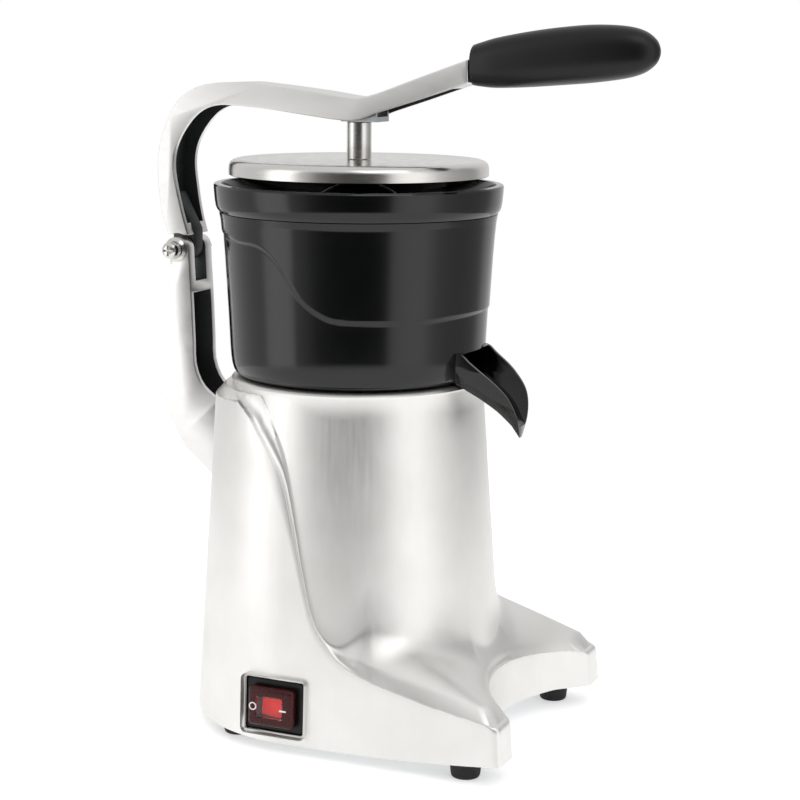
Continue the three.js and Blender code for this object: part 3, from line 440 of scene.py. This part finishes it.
# Window for the switch in the left wall, leaning with it
panel_turn = math.atan(side_lean)
panel_y, panel_z = 13.6, 33.5
panel_x = -(skirt_radius - side_lean * (panel_z - sill_back))
panel = Matrix.Translation(at(panel_x, panel_y, panel_z)) @ Matrix.Rotation(panel_turn, 4, "Y")
lean = (0, panel_turn, 0)
window_wide, window_high = 43.8, 36.8
boolean(housing, block("window", panel.translation, (24, window_wide, window_high), lean,
                       round_x=1.6))
gland_height, gland_radius = 36, 8
gland_out = (skirt_radius + skirt_back) - back_lean * (gland_height - sill_back)
boolean(housing, rod("gland_hole", at(0, gland_out - 14, gland_height),
                     at(0, gland_out + 14, gland_height), gland_radius))
smooth(housing, 40)


def metal(name, colour, roughness):
    """Bare metal: its node tree and shader, ready for the marks of how it was worked."""
    made = bpy.data.materials.new(name)
    made.use_nodes = True
    shader = made.node_tree.nodes["Principled BSDF"]
    shader.inputs["Base Color"].default_value = linear(colour)
    shader.inputs["Metallic"].default_value = 1.0
    shader.inputs["Roughness"].default_value = roughness
    return made, made.node_tree, shader


def worked(tree, shader, grain, stretch, low, high, depth):
    """Marks of working: a noise with this grain in millimetres, drawn out by stretch along each
    axis, moves the roughness between two values and lifts the surface by a depth in mm."""
    place = node(tree, "ShaderNodeTexCoord")
    drawn = node(tree, "ShaderNodeMapping", {"Vector": place.outputs["Object"],
                                             "Scale": [1 / s for s in stretch]})
    marks = node(tree, "ShaderNodeTexNoise", {"Vector": drawn.outputs[0], "Scale": 1000 / grain,
                                              "Detail": 5.0, "Roughness": 0.6})
    spread = node(tree, "ShaderNodeMapRange", {
        "Value": marks.outputs["Fac"], "From Min": 0.3, "From Max": 0.7, "To Min": low,
        "To Max": high})
    tree.links.new(spread.outputs[0], shader.inputs["Roughness"])
    lift = node(tree, "ShaderNodeBump", {"Height": marks.outputs["Fac"], "Strength": 1.0,
                                         "Distance": depth / 1000})
    tree.links.new(lift.outputs[0], shader.inputs["Normal"])


# Cast aluminium, linished upright and lacquered: a soft white sheen with faint upright streaks
# and cloudy patches of the casting under them.
cast_aluminium, tree, shader = metal("linished_cast_aluminium", "#e9e8e5", 0.34)
worked(tree, shader, 2.4, (1, 1, 14), 0.38, 0.45, 0.003)
clouds = node(tree, "ShaderNodeTexNoise", {
    "Vector": node(tree, "ShaderNodeTexCoord").outputs["Object"], "Scale": 26.0, "Detail": 3.0})
tone = node(tree, "ShaderNodeMix", {0: clouds.outputs["Fac"], 6: linear("#dfdeda"),
                                    7: linear("#f1f0ee")}, data_type="RGBA")
tree.links.new(tone.outputs[2], shader.inputs["Base Color"])
housing.data.materials.append(cast_aluminium)
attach(housing, "press_frame")
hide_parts("base_housing")

# ---------------------------------------------------------------- base plate, feet, motor parts
# A zinc-plated plate closes the casting from below and stands on four turned rubber feet. The
# motor hangs from its own plate inside the column and shows only from below, so those keep
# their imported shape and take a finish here.
feet = [n for n in frame["nodes"] if n.startswith("foot_") and "screw" not in n]


def lathe(name, profile, segments, turned_to=None):
    """Closed profile of (radius, height) in mm turned about the column's axis, or another."""
    place = turned_to or Matrix.Translation(at(0, 0, 0))

    def spot(column, row):
        a = 2 * math.pi * (column % segments) / segments
        r, z = profile[row % len(profile)]
        return place @ Vector((r * math.cos(a) / 1000, r * math.sin(a) / 1000, z / 1000))

    return draped(name, segments + 1, len(profile) + 1, spot)


def eased(points, radius, steps=3):
    """The same closed outline with each corner off the axis rounded, radii in millimetres."""
    made = []
    for i, corner in enumerate(points):
        before, after = Vector(points[i - 1]), Vector(points[(i + 1) % len(points)])
        here = Vector(corner)
        if here.x < 1e-6:
            made.append(tuple(here))
            continue
        back, on = before - here, after - here
        cut = min(radius, back.length * 0.45, on.length * 0.45)
        start, end = here + back.normalized() * cut, here + on.normalized() * cut
        for k in range(steps + 1):
            t = k / steps
            made.append(tuple(start * (1 - t) ** 2 + here * 2 * t * (1 - t) + end * t * t))
    return made


def finish_of(piece, material, body, slot, *nodes):
    """Gives a piece its material, the body it moves with and the parts it stands for. The slot is not used."""
    if not piece.data.materials:
        piece.data.materials.append(material)
    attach(piece, body)
    if nodes:
        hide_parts(*nodes)


def plastic(name, colour, roughness, grain, low, high, depth):
    """Moulded plastic or rubber whose fine texture moves its sheen between two values."""
    made = bpy.data.materials.new(name)
    made.use_nodes = True
    shader = made.node_tree.nodes["Principled BSDF"]
    shader.inputs["Base Color"].default_value = linear(colour)
    shader.inputs["Roughness"].default_value = roughness
    shader.inputs["IOR"].default_value = 1.5
    worked(made.node_tree, shader, grain, (1, 1, 1), low, high, depth)
    return made


# Moulded rubber: dull, almost no highlight, a fine sandy skin
black_rubber = plastic("moulded_black_rubber", "#141414", 0.75, 0.8, 0.62, 0.85, 0.02)
for name in feet:
    low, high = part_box(name)
    centre = Matrix.Translation(((low.x + high.x) / 2, (low.y + high.y) / 2, 0))
    rubber = lathe(name + "_rubber", eased([
        (2.9, 6), (5.8, 6), (5.8, 0.2), (8.9, 0), (9.8, 1.4), (10.6, 9), (11.5, 11.5),
        (11.5, 16.7), (2.9, 16.7)], 0.7), 64, centre)
    smooth(rubber, 40)
    finish_of(rubber, black_rubber, "press_frame", "black_rubber", name)

# Bright zinc plating on pressed steel: cool grey, fine rolled streaks
zinc, tree, shader = metal("zinc_plated_pressed_steel", "#c3c6c8", 0.38)
worked(tree, shader, 1.6, (1, 9, 1), 0.3, 0.5, 0.006)
# Stainless steel, brushed round: bright, with fine streaks that spread the highlight
stainless, tree, shader = metal("brushed_stainless_steel", "#d6d4d0", 0.2)
worked(tree, shader, 1.2, (7, 7, 1), 0.14, 0.28, 0.004)
# Rolled electrical steel with a thin oil film: dark grey and slightly blotchy
motor_steel, tree, shader = metal("rolled_motor_steel", "#7b7f82", 0.45)
worked(tree, shader, 6.0, (1, 1, 1), 0.35, 0.6, 0.01)
# Glass-filled nylon with a fine spark-eroded texture: a soft satin black
satin_black = plastic("spark_textured_black_nylon", "#121213", 0.36, 0.5, 0.3, 0.42, 0.003)
satin_shader = satin_black.node_tree.nodes["Principled BSDF"]
satin_shader.inputs["Specular IOR Level"].default_value = 0.3
# Injection-moulded ABS from a polished tool: deep black with a wet, slightly wavy gloss
gloss_black = plastic("polished_mould_black_abs", "#040505", 0.11, 22.0, 0.09, 0.14, 0.006)
# Acetal, white and slightly waxy
white_plastic = plastic("moulded_white_acetal", "#ece9df", 0.4, 1.2, 0.33, 0.48, 0.008)

packed_finish = {"zinc_plated_steel": zinc, "stainless_steel": stainless,
                 "motor_steel": motor_steel, "satin_black_plastic": satin_black,
                 "gloss_black_plastic": gloss_black, "black_rubber": black_rubber,
                 "white_plastic": white_plastic, "cast_aluminium": cast_aluminium}

# ---------------------------------------------------------------- juice bowl
# One black moulding: a tapered wall with a thick band at the rim, a step that runs low round
# the front and climbs at the sides to just under the band, a tall hub in the middle and an
# open spout that hangs over the bay.
bowl_base, rim_top, band_low = 248.4, 380.8, 362.8
# Height of the step by degrees from the spout
step_line = [(0, 296.8), (8, 296.8), (24.5, 296.1), (37.1, 295.0), (58.7, 295.3), (73, 296.1),
             (80, 299), (88, 307), (94.4, 319), (101.3, 334.1),
             (110.3, 342.9), (124.3, 344.3), (138.9, 346.9), (180, 347.5)]
step_curve = spline(step_line, 160)


def step_height(turn):
    """Height of the step, by the angle from the spout; both sides are alike."""
    return level_of(step_curve, abs((math.degrees(turn) + 270) % 360 - 180))


outer_wall = [(bowl_base + 20, 89.2), (290, 90.2), (313, 91.5), (331, 92.5), (346, 93.6),
              (356, 94.6), (361.2, 95.6), (363.6, 97.6), (366, 98.4), (370, 99.0),
              (376, 99.5), (379.6, 99.7), (380.6, 99.1), (rim_top, 98.2)]
inner_wall = [(94.9, rim_top), (94.4, 379.4), (92.8, band_low), (88.9, 295.4), (83.9, 294.4),
              (83.9, 292.4), (88.4, 286.4), (81.2, 258.4), (75.2, 253.4), (20, 259.4),
              (16, 263.4), (15.2, 285.9), (14.6, 286.4), (13.4, 286.4), (13, 285.9), (13, 252.4),
              (18, 252.4), (22, bowl_base), (78, bowl_base), (82.6, 248.8), (85.6, 250.6),
              (87.2, 253.4), (88.2, 257.5), (88.8, 262.5)]
wall_low, wall_high, wall_steps = bowl_base + 20, 361, 92
wall_rows = [wall_low + i * (wall_high - bowl_base - 20) / wall_steps for i in range(wall_steps + 1)]
rim_rows = outer_wall[6:]
step_proud, rim_proud, step_half = 0.9, 0.4, 1.3
bowl_turns = 400


def bowl_point(column, row):
    turn = 2 * math.pi * (column % bowl_turns) / bowl_turns
    row %= len(wall_rows) + len(rim_rows) + len(inner_wall)
    if row < len(wall_rows):
        z = wall_rows[row]
        proud = smoothstep(z, step_height(turn) - step_half, step_height(turn) + step_half)
        r = level_of(outer_wall, z) + step_proud * proud
    elif row < len(wall_rows) + len(rim_rows):
        z, r = rim_rows[row - len(wall_rows)]
        r += rim_proud
    else:
        r, z = inner_wall[row - len(wall_rows) - len(rim_rows)]
    return at(r * math.cos(turn), r * math.sin(turn), z)


bowl = draped("bowl_moulding", bowl_turns + 1,
              len(wall_rows) + len(rim_rows) + len(inner_wall) + 1, bowl_point)


def slab(name, outline, thickness, along="X"):
    """Outline in mm, across the other two axes, given an even thickness along X or Y."""
    bpy.ops.object.select_all(action="DESELECT")
    bpy.ops.mesh.primitive_circle_add(vertices=len(outline), radius=0.01, fill_type="NGON")
    piece = bpy.context.object
    piece.name = name
    half = thickness / 2
    for vertex, (a, z) in zip(piece.data.vertices, outline):
        vertex.co = at(-half, a, z) if along == "X" else at(a, -half, z)
    run = at(thickness, 0, 0) - at(0, 0, 0) if along == "X" else at(0, thickness, 0) - at(0, 0, 0)
    bpy.ops.object.mode_set(mode="EDIT")
    bpy.ops.mesh.select_all(action="SELECT")
    bpy.ops.mesh.extrude_region_move(TRANSFORM_OT_translate={"value": run})
    bpy.ops.mesh.select_all(action="SELECT")
    bpy.ops.mesh.normals_make_consistent(inside=False)
    bpy.ops.object.mode_set(mode="OBJECT")
    return piece


spout_half, spout_root, spout_lip = 27, -75.2, -123.2
spout_wall, channel_top = 3, 22
trough_end, channel_end = 85, 69
front_ahead = 80


def spout_side(name, lift):
    """Side outline of the spout as a wide slab; with a lift, of the hollow cut from it."""
    upper = spline([(spout_root, bowl_base + 24), (spout_root - 12, bowl_base + 22.5),
                    (spout_lip + 29, bowl_base + 17), (spout_lip + 14, bowl_base + 5),
                    (spout_lip + 4, bowl_base - 7), (spout_lip, bowl_base - 22),
                    (spout_lip + 1, bowl_base - 36)], 40)
    lower = spline([(spout_lip + 5, bowl_base - 27), (spout_lip + 13, bowl_base - 17),
                    (spout_lip + 23, bowl_base - 9), (spout_lip + 32, bowl_base - 3.4),
                    (spout_root - 9, bowl_base + 0.6), (spout_root, bowl_base + 4)], 30)
    if not lift:
        return slab(name, upper + lower, 4 * spout_half)
    return slab(name, [(y - 6, z + 12) for y, z in upper] + [(spout_lip - 20, bowl_base - 50)]
                + [(y - lift * 0.7, z + lift) for y, z in lower], 4 * spout_half)


def spout_front(name, inset):
    """Pointed front outline of the spout, drawn in by an inset, as a slab that reaches its lip."""
    half = spout_half - inset
    right = spline([(half, bowl_base + 40), (half, bowl_base + 14), (half * 0.86, bowl_base + 2),
                    (half * 0.6, bowl_base - 13), (half * 0.3, bowl_base - 26),
                    (half * 0.06, bowl_base - 37 + inset * 2)], 30)
    piece = slab(name, right + [(-x, z) for x, z in reversed(right)], 120, "Y")
    for vertex in piece.data.vertices:
        vertex.co.y -= front_ahead / 1000
    return piece


trough = spout_side("bowl_spout", 0)
boolean(trough, spout_front("front", 0), "INTERSECT")
boolean(trough, rod("keep", at(0, 0, 180), at(0, 0, 400), trough_end, 160))
channel = spout_side("channel", spout_wall)
boolean(channel, spout_front("front", spout_wall), "INTERSECT")
boolean(channel, block("ceiling", at(0, 0, bowl_base + channel_top + 30), (400, 400, 60)))
boolean(channel, rod("keep", at(0, 0, 180), at(0, 0, 400), channel_end, 120))
channel_copy = channel.copy()
channel_copy.data = channel.data.copy()
bpy.context.scene.collection.objects.link(channel_copy)
boolean(trough, channel_copy)
boolean(bowl, channel)
bevelled(trough, 0.5, 40, 2)
boolean(bowl, trough, "UNION")
smooth(bowl, 32)
finish_of(bowl, gloss_black, "press_frame", "gloss_black_plastic", "juice_bowl")


# ---------------------------------------------------------------- strainer, cone and cup
# A pressed steel strainer sits on the bowl's ledge and the ribbed white cone stands on the
# motor's shaft above it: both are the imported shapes, smoothed. The black cup that presses the
# fruit, and the steel sleeve over its neck, are turned new.
def smoothed(node_name, name, width=0.0):
    """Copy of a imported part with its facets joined, its flats cleaned and its edges eased."""
    bpy.ops.object.select_all(action="DESELECT")
    piece = bpy.data.objects.new(name, frame["nodes"][node_name].data.copy())
    piece.data.materials.clear()
    bpy.context.scene.collection.objects.link(piece)
    bpy.context.view_layer.objects.active = piece
    piece.select_set(True)
    bpy.ops.object.mode_set(mode="EDIT")
    bpy.ops.mesh.select_all(action="SELECT")
    bpy.ops.mesh.remove_doubles(threshold=1e-5)
    bpy.ops.mesh.dissolve_limited(angle_limit=math.radians(0.6))
    bpy.ops.mesh.normals_make_consistent(inside=False)
    bpy.ops.object.mode_set(mode="OBJECT")
    if width:
        bevelled(piece, width, 38, 2)
    smooth(piece, 34)
    return piece


finish_of(smoothed("strainer", "strainer_dish"), stainless, "press_frame", "stainless_steel",
          "strainer")
finish_of(smoothed("reamer_cone", "reamer_ribbed_cone", 0.5), white_plastic, "drive",
          "white_plastic", "reamer_cone")
dome_radius, dome_height, dome_foot, dome_wall, dome_steps = 52, 60, 322.1, 3, 24
dome_outer = [(dome_radius * math.sin(a), dome_foot + dome_height * math.cos(a))
              for a in (math.radians(90 - 73 * i / dome_steps) for i in range(dome_steps + 1))]
dome_inner = [((dome_radius - dome_wall) * math.sin(a),
               dome_foot + (dome_height - dome_wall) * math.cos(a))
              for a in (math.radians(13 + 77 * i / dome_steps) for i in range(dome_steps + 1))]
cup = lathe("press_cup_dome", dome_outer + [(14.4, 381), (12.5, 382.4), (7.2, 382.6), (4.9, 382.6),
                                            (4.9, 377.1), (11, 377.1)] + dome_inner, 128)
smooth(cup, 40)
finish_of(cup, satin_black, "presser", "satin_black_plastic", "press_cup")
sleeve = lathe("press_cup_sleeve", eased([(4.9, 382.7), (6.9, 382.7), (6.9, 395.2), (4.9, 395.2)],
                                         0.3), 64)
smooth(sleeve, 40)
finish_of(sleeve, stainless, "presser", "stainless_steel")

# ---------------------------------------------------------------- lid and stem
# A spun stainless lid with a deep turned-down edge, and the ground steel stem it hangs from,
# which runs up into the arm to an eye on a cross pin.
lid = lathe("lid_spinning", [(4.7, 395.6), (84.5, 395.6), (86.6, 394.9), (88.2, 391.6),
                             (88.2, 386.7), (88.9, 386.4), (89.7, 386.8), (89.7, 391.4),
                             (89.4, 393.4), (88.5, 395.2), (87.0, 396.4), (84.8, 397.1),
                             (60, 397.1), (30, 397.1), (4.7, 397.1)], 240)
smooth(lid, 50)
finish_of(lid, stainless, "presser", "stainless_steel", "press_lid")

pin_height = 430.6
stem = lathe("stem_bar", eased([(0, 368.8), (4.2, 368.8), (4.7, 369.8), (4.7, 397.4),
                                (8.5, 397.4), (8.5, 422.6), (4.3, 425.2), (4.3, 430.6),
                                (3.4, 433.6), (1.6, 435.1), (0, 435.3)], 0.4), 96)
smooth(stem, 40)
finish_of(stem, stainless, "presser", "stainless_steel", "press_stem")

# ---------------------------------------------------------------- lever arm
# Cast and polished aluminium, an upside-down channel: it rises from the fork behind the bowl,
# bends over the lid, dips to the stem and climbs to the grip. A rib runs down to the fork.
pivot_y = (joint["lever_pivot"].y - axis_y) * 1000
pivot_z = joint["lever_pivot"].z * 1000
arm_end = -84.5
fork_width, arm_width, tip_width = 30, 35, 25
arm_outer = spline([
    (pivot_y + 8, pivot_z + 10.2), (pivot_y + 12.6, pivot_z + 26), (pivot_y + 14.4, pivot_z + 46),
    (pivot_y + 14, pivot_z + 66), (pivot_y + 9.5, pivot_z + 84), (pivot_y - 2, pin_height + 3.5),
    (pivot_y - 20, pin_height + 14.6), (pivot_y - 46, pin_height + 17.8),
    (66, pin_height + 16.4), (30, pin_height + 12.6), (6, pin_height + 9.4),
    (-6, pin_height + 9), (-20, pin_height + 12), (-50, pin_height + 23),
    (arm_end, pin_height + 35.4)], 112)
arm_inner = spline([
    (pivot_y - 8.4, pivot_z + 10.2), (pivot_y - 4.4, pivot_z + 24), (pivot_y - 0.6, pivot_z + 42),
    (pivot_y + 1.6, pivot_z + 60), (pivot_y - 1, pivot_z + 74), (pivot_y - 9, pivot_z + 87.5),
    (pivot_y - 20, pivot_z + 98), (pivot_y - 34, pin_height + 1.6),
    (pivot_y - 56, pin_height + 1.2), (60, pin_height - 0.4), (30, pin_height - 4),
    (8, pin_height - 6.4), (-6, pin_height - 6), (-22, pin_height - 0.4),
    (-50, pin_height + 8.4), (arm_end, pin_height + 19.8)], 112)


def sideways(line, distance):
    """The same curve moved to its right as it runs, or to its left by a minus."""
    made = []
    for i, (y, z) in enumerate(line):
        (y0, z0), (y1, z1) = line[max(i - 1, 0)], line[min(i + 1, len(line) - 1)]
        run = math.hypot(y1 - y0, z1 - z0)
        made.append((y + (z1 - z0) / run * distance, z - (y1 - y0) / run * distance))
    return made


def arm_half(y, z):
    """Half width of the arm: narrow at the fork, full over the lid, narrower at the grip."""
    neck = smoothstep(z, pivot_z + 8, pivot_z + 60)
    tip = smoothstep(-y, 0, -arm_end)
    full = arm_width + (tip_width - arm_width) * tip
    return (fork_width + (full - fork_width) * neck) / 2


def arm_slab(name, outline, inset):
    """Slab whose half width follows the arm, less an inset on each side."""
    piece = slab(name, outline, 2)
    for vertex in piece.data.vertices:
        y, z = (vertex.co.y - axis_y) * 1000, vertex.co.z * 1000
        side = 1 if vertex.co.x > axis_x else -1
        vertex.co.x = axis_x + side * (arm_half(y, z) - inset) / 1000
    return piece


def cross_rod(name, y, z, radius, half):
    return rod(name, at(-half, y, z), at(half, y, z), radius, 64)


# Inside of the channels: left as cast and never polished, so dull and grainy. Its dark grey colour is painted
# shade for the shadow inside the channels, the fork and the slot.
as_cast_painted_shade, tree, shader = metal("unpolished_cast_aluminium_painted_shade", "#5b5d5e", 0.6)
worked(tree, shader, 1.8, (1, 1, 1), 0.5, 0.72, 0.03)
# Polished casting: near-white sheen broken up by fine lengthwise polishing lines
polished, tree, shader = metal("polished_cast_aluminium", "#e4e3e1", 0.32)
worked(tree, shader, 1.6, (1, 12, 3), 0.28, 0.38, 0.0015)

arm = arm_slab("arm_casting", arm_outer + arm_inner[::-1], 0)
bevelled(arm, 3.2, 50, 5)
arm.data.materials.append(polished)
channel_wall, channel_open = 3.8, 8
hollow = arm_slab("hollow", sideways(arm_outer, -channel_wall)[4:]
                  + sideways(arm_inner, -channel_open)[:3:-1], channel_wall)
boolean(hollow, block("solid_end", at(0, arm_end - 18, pin_height + 25), (60, 60, 200)))
# The hollow carries the dark painted-shade material onto the channel's inside faces
hollow.data.materials.append(as_cast_painted_shade)
boolean(arm, hollow)
boolean(arm, cross_rod("relief", pivot_y, pivot_z, 11.5, 30))
tongue_radius, tongue_thickness = 8.6, 13
tongue_arc = [(pivot_y + tongue_radius * math.cos(a), pivot_z + tongue_radius * math.sin(a))
              for a in (math.pi + math.pi * i / 24 for i in range(25))]
tongue = slab("tongue", tongue_arc + [
    (pivot_y + tongue_radius, pivot_z + 14), (pivot_y + 11, pivot_z + 40),
    (pivot_y + 5, pivot_z + 40), (pivot_y - tongue_radius, pivot_z + 14)], tongue_thickness)
bevelled(tongue, 0.8, 40, 2)
# The tongue between the fork's cheeks takes the same dark grey, painted shade for the shadow in the gap
tongue.data.materials.append(as_cast_painted_shade)
boolean(arm, tongue, "UNION")
tang_slope, tang_length = math.radians(10), 82
tang = block("tang", Vector((0, 0, 0)), (14, tang_length, 10))
for vertex in tang.data.vertices:
    out_along = vertex.co + Vector((0, -tang_length / 2000, 0))
    turned = Matrix.Rotation(-tang_slope, 3, "X") @ out_along
    vertex.co = turned + at(0, arm_end + 16, pin_height + 25)
boolean(arm, tang, "UNION")
boolean(arm, cross_rod("bore", pivot_y, pivot_z, 3.8, 30))
boolean(arm, cross_rod("pin_hole", 0, pin_height, 2.5, 16))
smooth(arm, 38)
finish_of(arm, polished, "lever", "polished_aluminium", "press_arm")

# ---------------------------------------------------------------- grip
# Satin black moulding pushed over the arm's tang: blunt where it meets the arm, fullest at the
# middle and rounded off at the far end, its section a little squared.
grip_start, grip_length = -85.0, 127
grip_half_wide, grip_half_high, grip_rise, squareness = 17.5, 18.8, 9.8, 2.4
grip_line = spline([(0, 0.1), (0.2, 12.2), (1.0, 13.6), (5, 14.6), (17, 16.6), (40, 18.2),
                    (64, 18.8), (84, 18.6), (104, 16.8), (116, 13.6), (123.5, 8.4),
                    (126.6, 3.2), (127, 0.1)], 96)
grip_turns = 72


def grip_point(column, row):
    """Point of the grip's skin: a squared oval round a line that bows upwards."""
    along, r = grip_line[row]
    a = 2 * math.pi * (column % grip_turns) / grip_turns
    share_along = min(max(along / grip_length, 0), 1)
    squared = (abs(math.cos(a)) ** squareness
               + abs(math.sin(a)) ** squareness) ** (-1 / squareness)
    x = r * math.cos(a) * squared * grip_half_wide / grip_half_high
    z = r * math.sin(a) * squared + grip_rise * math.sin(share_along * math.pi / 2) ** 1.1
    return at(x, grip_start - along, pin_height + 31.6 + z)


grip = draped("grip_moulding", grip_turns + 1, len(grip_line), grip_point)
smooth(grip, 50)
finish_of(grip, satin_black, "lever", "satin_black_plastic", "handle_grip")

# ---------------------------------------------------------------- bracket and pivot
# A cast fork bolted to the housing's back. The arm's rib turns in its slot on a steel screw
# with a stepped, domed head on the switch side and a nut on the other.
bracket = smoothed("arm_bracket", "bracket_casting", 1.4)
bracket.data.materials.append(polished)
bracket.data.materials.append(as_cast_painted_shade)
# Faces that look into the hollow below or the slot above were never polished, and they take the dark grey of
# painted shade
web_low, hollow_half, slot_half = pivot_z - 30.5, 13, 8.4
for face in bracket.data.polygons:
    x, z = (face.center.x - axis_x) * 1000, face.center.z * 1000
    widest = max(abs(bracket.data.vertices[v].co.x - axis_x) * 1000 for v in face.vertices)
    inward = face.normal.x * x < -0.8 * abs(x)
    in_hollow = z < web_low and widest < hollow_half and (
        inward or face.normal.y < -0.1 or face.normal.z < -0.5)
    in_slot = z > web_low and widest < slot_half and (
        inward or face.normal.z > 0.8 and z < pivot_z)
    face.material_index = 1 if in_hollow or in_slot else 0
finish_of(bracket, polished, "press_frame", "cast_aluminium", "arm_bracket")

cheek = 17
screw_side = Matrix.Translation(at(0, pivot_y, pivot_z)) @ Matrix.Rotation(-math.pi / 2, 4, "Y")
screw = lathe("pivot_pan_screw", eased([
    (0, -cheek - 7.5), (2.9, -cheek - 7.5), (3.5, -cheek - 7), (3.5, cheek + 0.3),
    (8.8, cheek + 0.3), (8.8, cheek + 1.6), (6.4, cheek + 3.6), (6.4, cheek + 8.4),
    (5.6, cheek + 10.8), (3.4, cheek + 12.4), (0, cheek + 12.8)], 0.5), 64, screw_side)
for size in ((1.4, 7.6), (7.6, 1.4)):
    boolean(screw, block("cross", at(-cheek - 12.4, pivot_y, pivot_z), (3.6, *size)))
smooth(screw, 35)
finish_of(screw, stainless, "press_frame", "stainless_steel", "pivot_screw")

# ---------------------------------------------------------------- switch
# Two-way rocker under a red splash cover, on a black plate let into the housing's left wall.
# The casting has a raised lip round the plate. White marks stand on the cover, either side of
# its clear window.
def on_panel(piece):
    """Stands a piece made round the origin on the leaning wall, its -X facing out."""
    for vertex in piece.data.vertices:
        vertex.co = panel @ vertex.co
    return piece


lip_wide, lip_high = window_wide + 4.8, window_high + 4.8
lip = block("switch_lip", Vector((0.0002, 0, 0)), (1.9, lip_wide, lip_high), round_x=4.2)
boolean(lip, block("inside", Vector((0, 0, 0)), (9, window_wide + 0.4, window_high + 0.4),
                   round_x=2.0))
bevelled(lip, 0.55, 40, 3)
on_panel(lip)
smooth(lip, 50)
finish_of(lip, cast_aluminium, "press_frame", "cast_aluminium")

plate = block("switch_face_plate", Vector((0.0017, 0, 0)),
              (1.6, window_wide - 0.4, window_high - 0.4), round_x=1.8)
boolean(plate, block("inside", Vector((0, 0, 0)), (9, 30, 24)))
bevelled(plate, 0.4, 40, 2)
on_panel(plate)
smooth(plate, 40)
finish_of(plate, satin_black, "press_frame", "satin_black_plastic", "switch_plate")

cover_wide, cover_high, cover_wall = 34, 27, 1.2
pane_wide, pane_high, pane_back = 20.5, 15.4, 0.0006
cover = block("switch_cover_frame", Vector((-0.00315, 0, 0)), (7.5, cover_wide, cover_high),
              round_x=3.0)
bevelled(cover, 1.6, 60, 4)
boolean(cover, block("inside", Vector((0.0012, 0, 0)), (
    13, cover_wide - 2 * cover_wall, cover_high - 2 * cover_wall), round_x=2.0))
boolean(cover, block("window", Vector((-0.006, pane_back, 0)), (6, pane_wide, pane_high),
                     round_x=1.2))
on_panel(cover)
smooth(cover, 40)
# Soft vinyl, dark red and glossy, nearly black where it is thick
red_vinyl = plastic("dip_moulded_dark_red_vinyl", "#3a0709", 0.3, 4.0, 0.24, 0.34, 0.01)
vinyl_shader = red_vinyl.node_tree.nodes["Principled BSDF"]
vinyl_shader.inputs["Specular IOR Level"].default_value = 0.3
finish_of(cover, red_vinyl, "press_frame", "dark_red_plastic", "switch_cover")

pane = block("switch_cover_pane", Vector((-0.00605, pane_back, 0)),
             (0.7, pane_wide - 0.1, pane_high - 0.1), round_x=1.1)
on_panel(pane)
smooth(pane, 40)
# Clear red vinyl over the rocker: lets its red through and adds a thin wet highlight
clear_red = plastic("clear_red_vinyl_window", "#ffb0ac", 0.06, 5.0, 0.04, 0.09, 0.0005)
clear_shader = clear_red.node_tree.nodes["Principled BSDF"]
clear_shader.inputs["Transmission Weight"].default_value = 1.0
finish_of(pane, clear_red, "press_frame", "dark_red_plastic")

rocker = smoothed("rocker_button", "rocker_moulding", 0.5)
# Lit from behind by its neon lamp: a clear bright red with a faint inner grain
red_button = plastic("moulded_red_polycarbonate", "#c8141c", 0.2, 3.0, 0.14, 0.26, 0.01)
glowing = red_button.node_tree.nodes["Principled BSDF"]
glowing.inputs["Emission Color"].default_value = linear("#d0141c")
glowing.inputs["Emission Strength"].default_value = 0.6
finish_of(rocker, red_button, "rocker", "red_plastic", "rocker_button")

# Moulded white marks, a ring and a bar: slightly chalky
mark_white = plastic("moulded_white_marks", "#f4f2ee", 0.45, 0.8, 0.38, 0.52, 0.004)
bpy.ops.object.select_all(action="DESELECT")
bpy.ops.mesh.primitive_torus_add(major_radius=0.0024, minor_radius=0.00045, major_segments=48,
                                 minor_segments=12)
ring_mark = bpy.context.object
ring_mark.name = "rocker_mark_off"
bar_mark = block("rocker_mark_on", Vector((0, 0, 0)), (0.6, 5.2, 1.2))
bevelled(bar_mark, 0.2, 40, 2)
ring_mark.data.transform(Matrix.Rotation(math.pi / 2, 4, "Y"))
ring_mark.data.transform(Matrix.Translation((-0.00685, 0.0128, 0)))
bar_mark.data.transform(Matrix.Translation((-0.0067, -0.0098, -0.0008)))
for mark in (ring_mark, bar_mark):
    on_panel(mark)
    smooth(mark, 40)
    finish_of(mark, mark_white, "press_frame", "white_plastic")

# ---------------------------------------------------------------- parts kept as packed
# Motor, bearings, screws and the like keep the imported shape, and each takes the finish of its
# slot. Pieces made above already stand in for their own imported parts.
for part in frame["record"]["subparts"]:
    kept = frame["nodes"][part["node"]]
    finish = packed_finish.get(part["material_slot"])
    if finish:
        kept.data.materials.clear()
        kept.data.materials.append(finish)
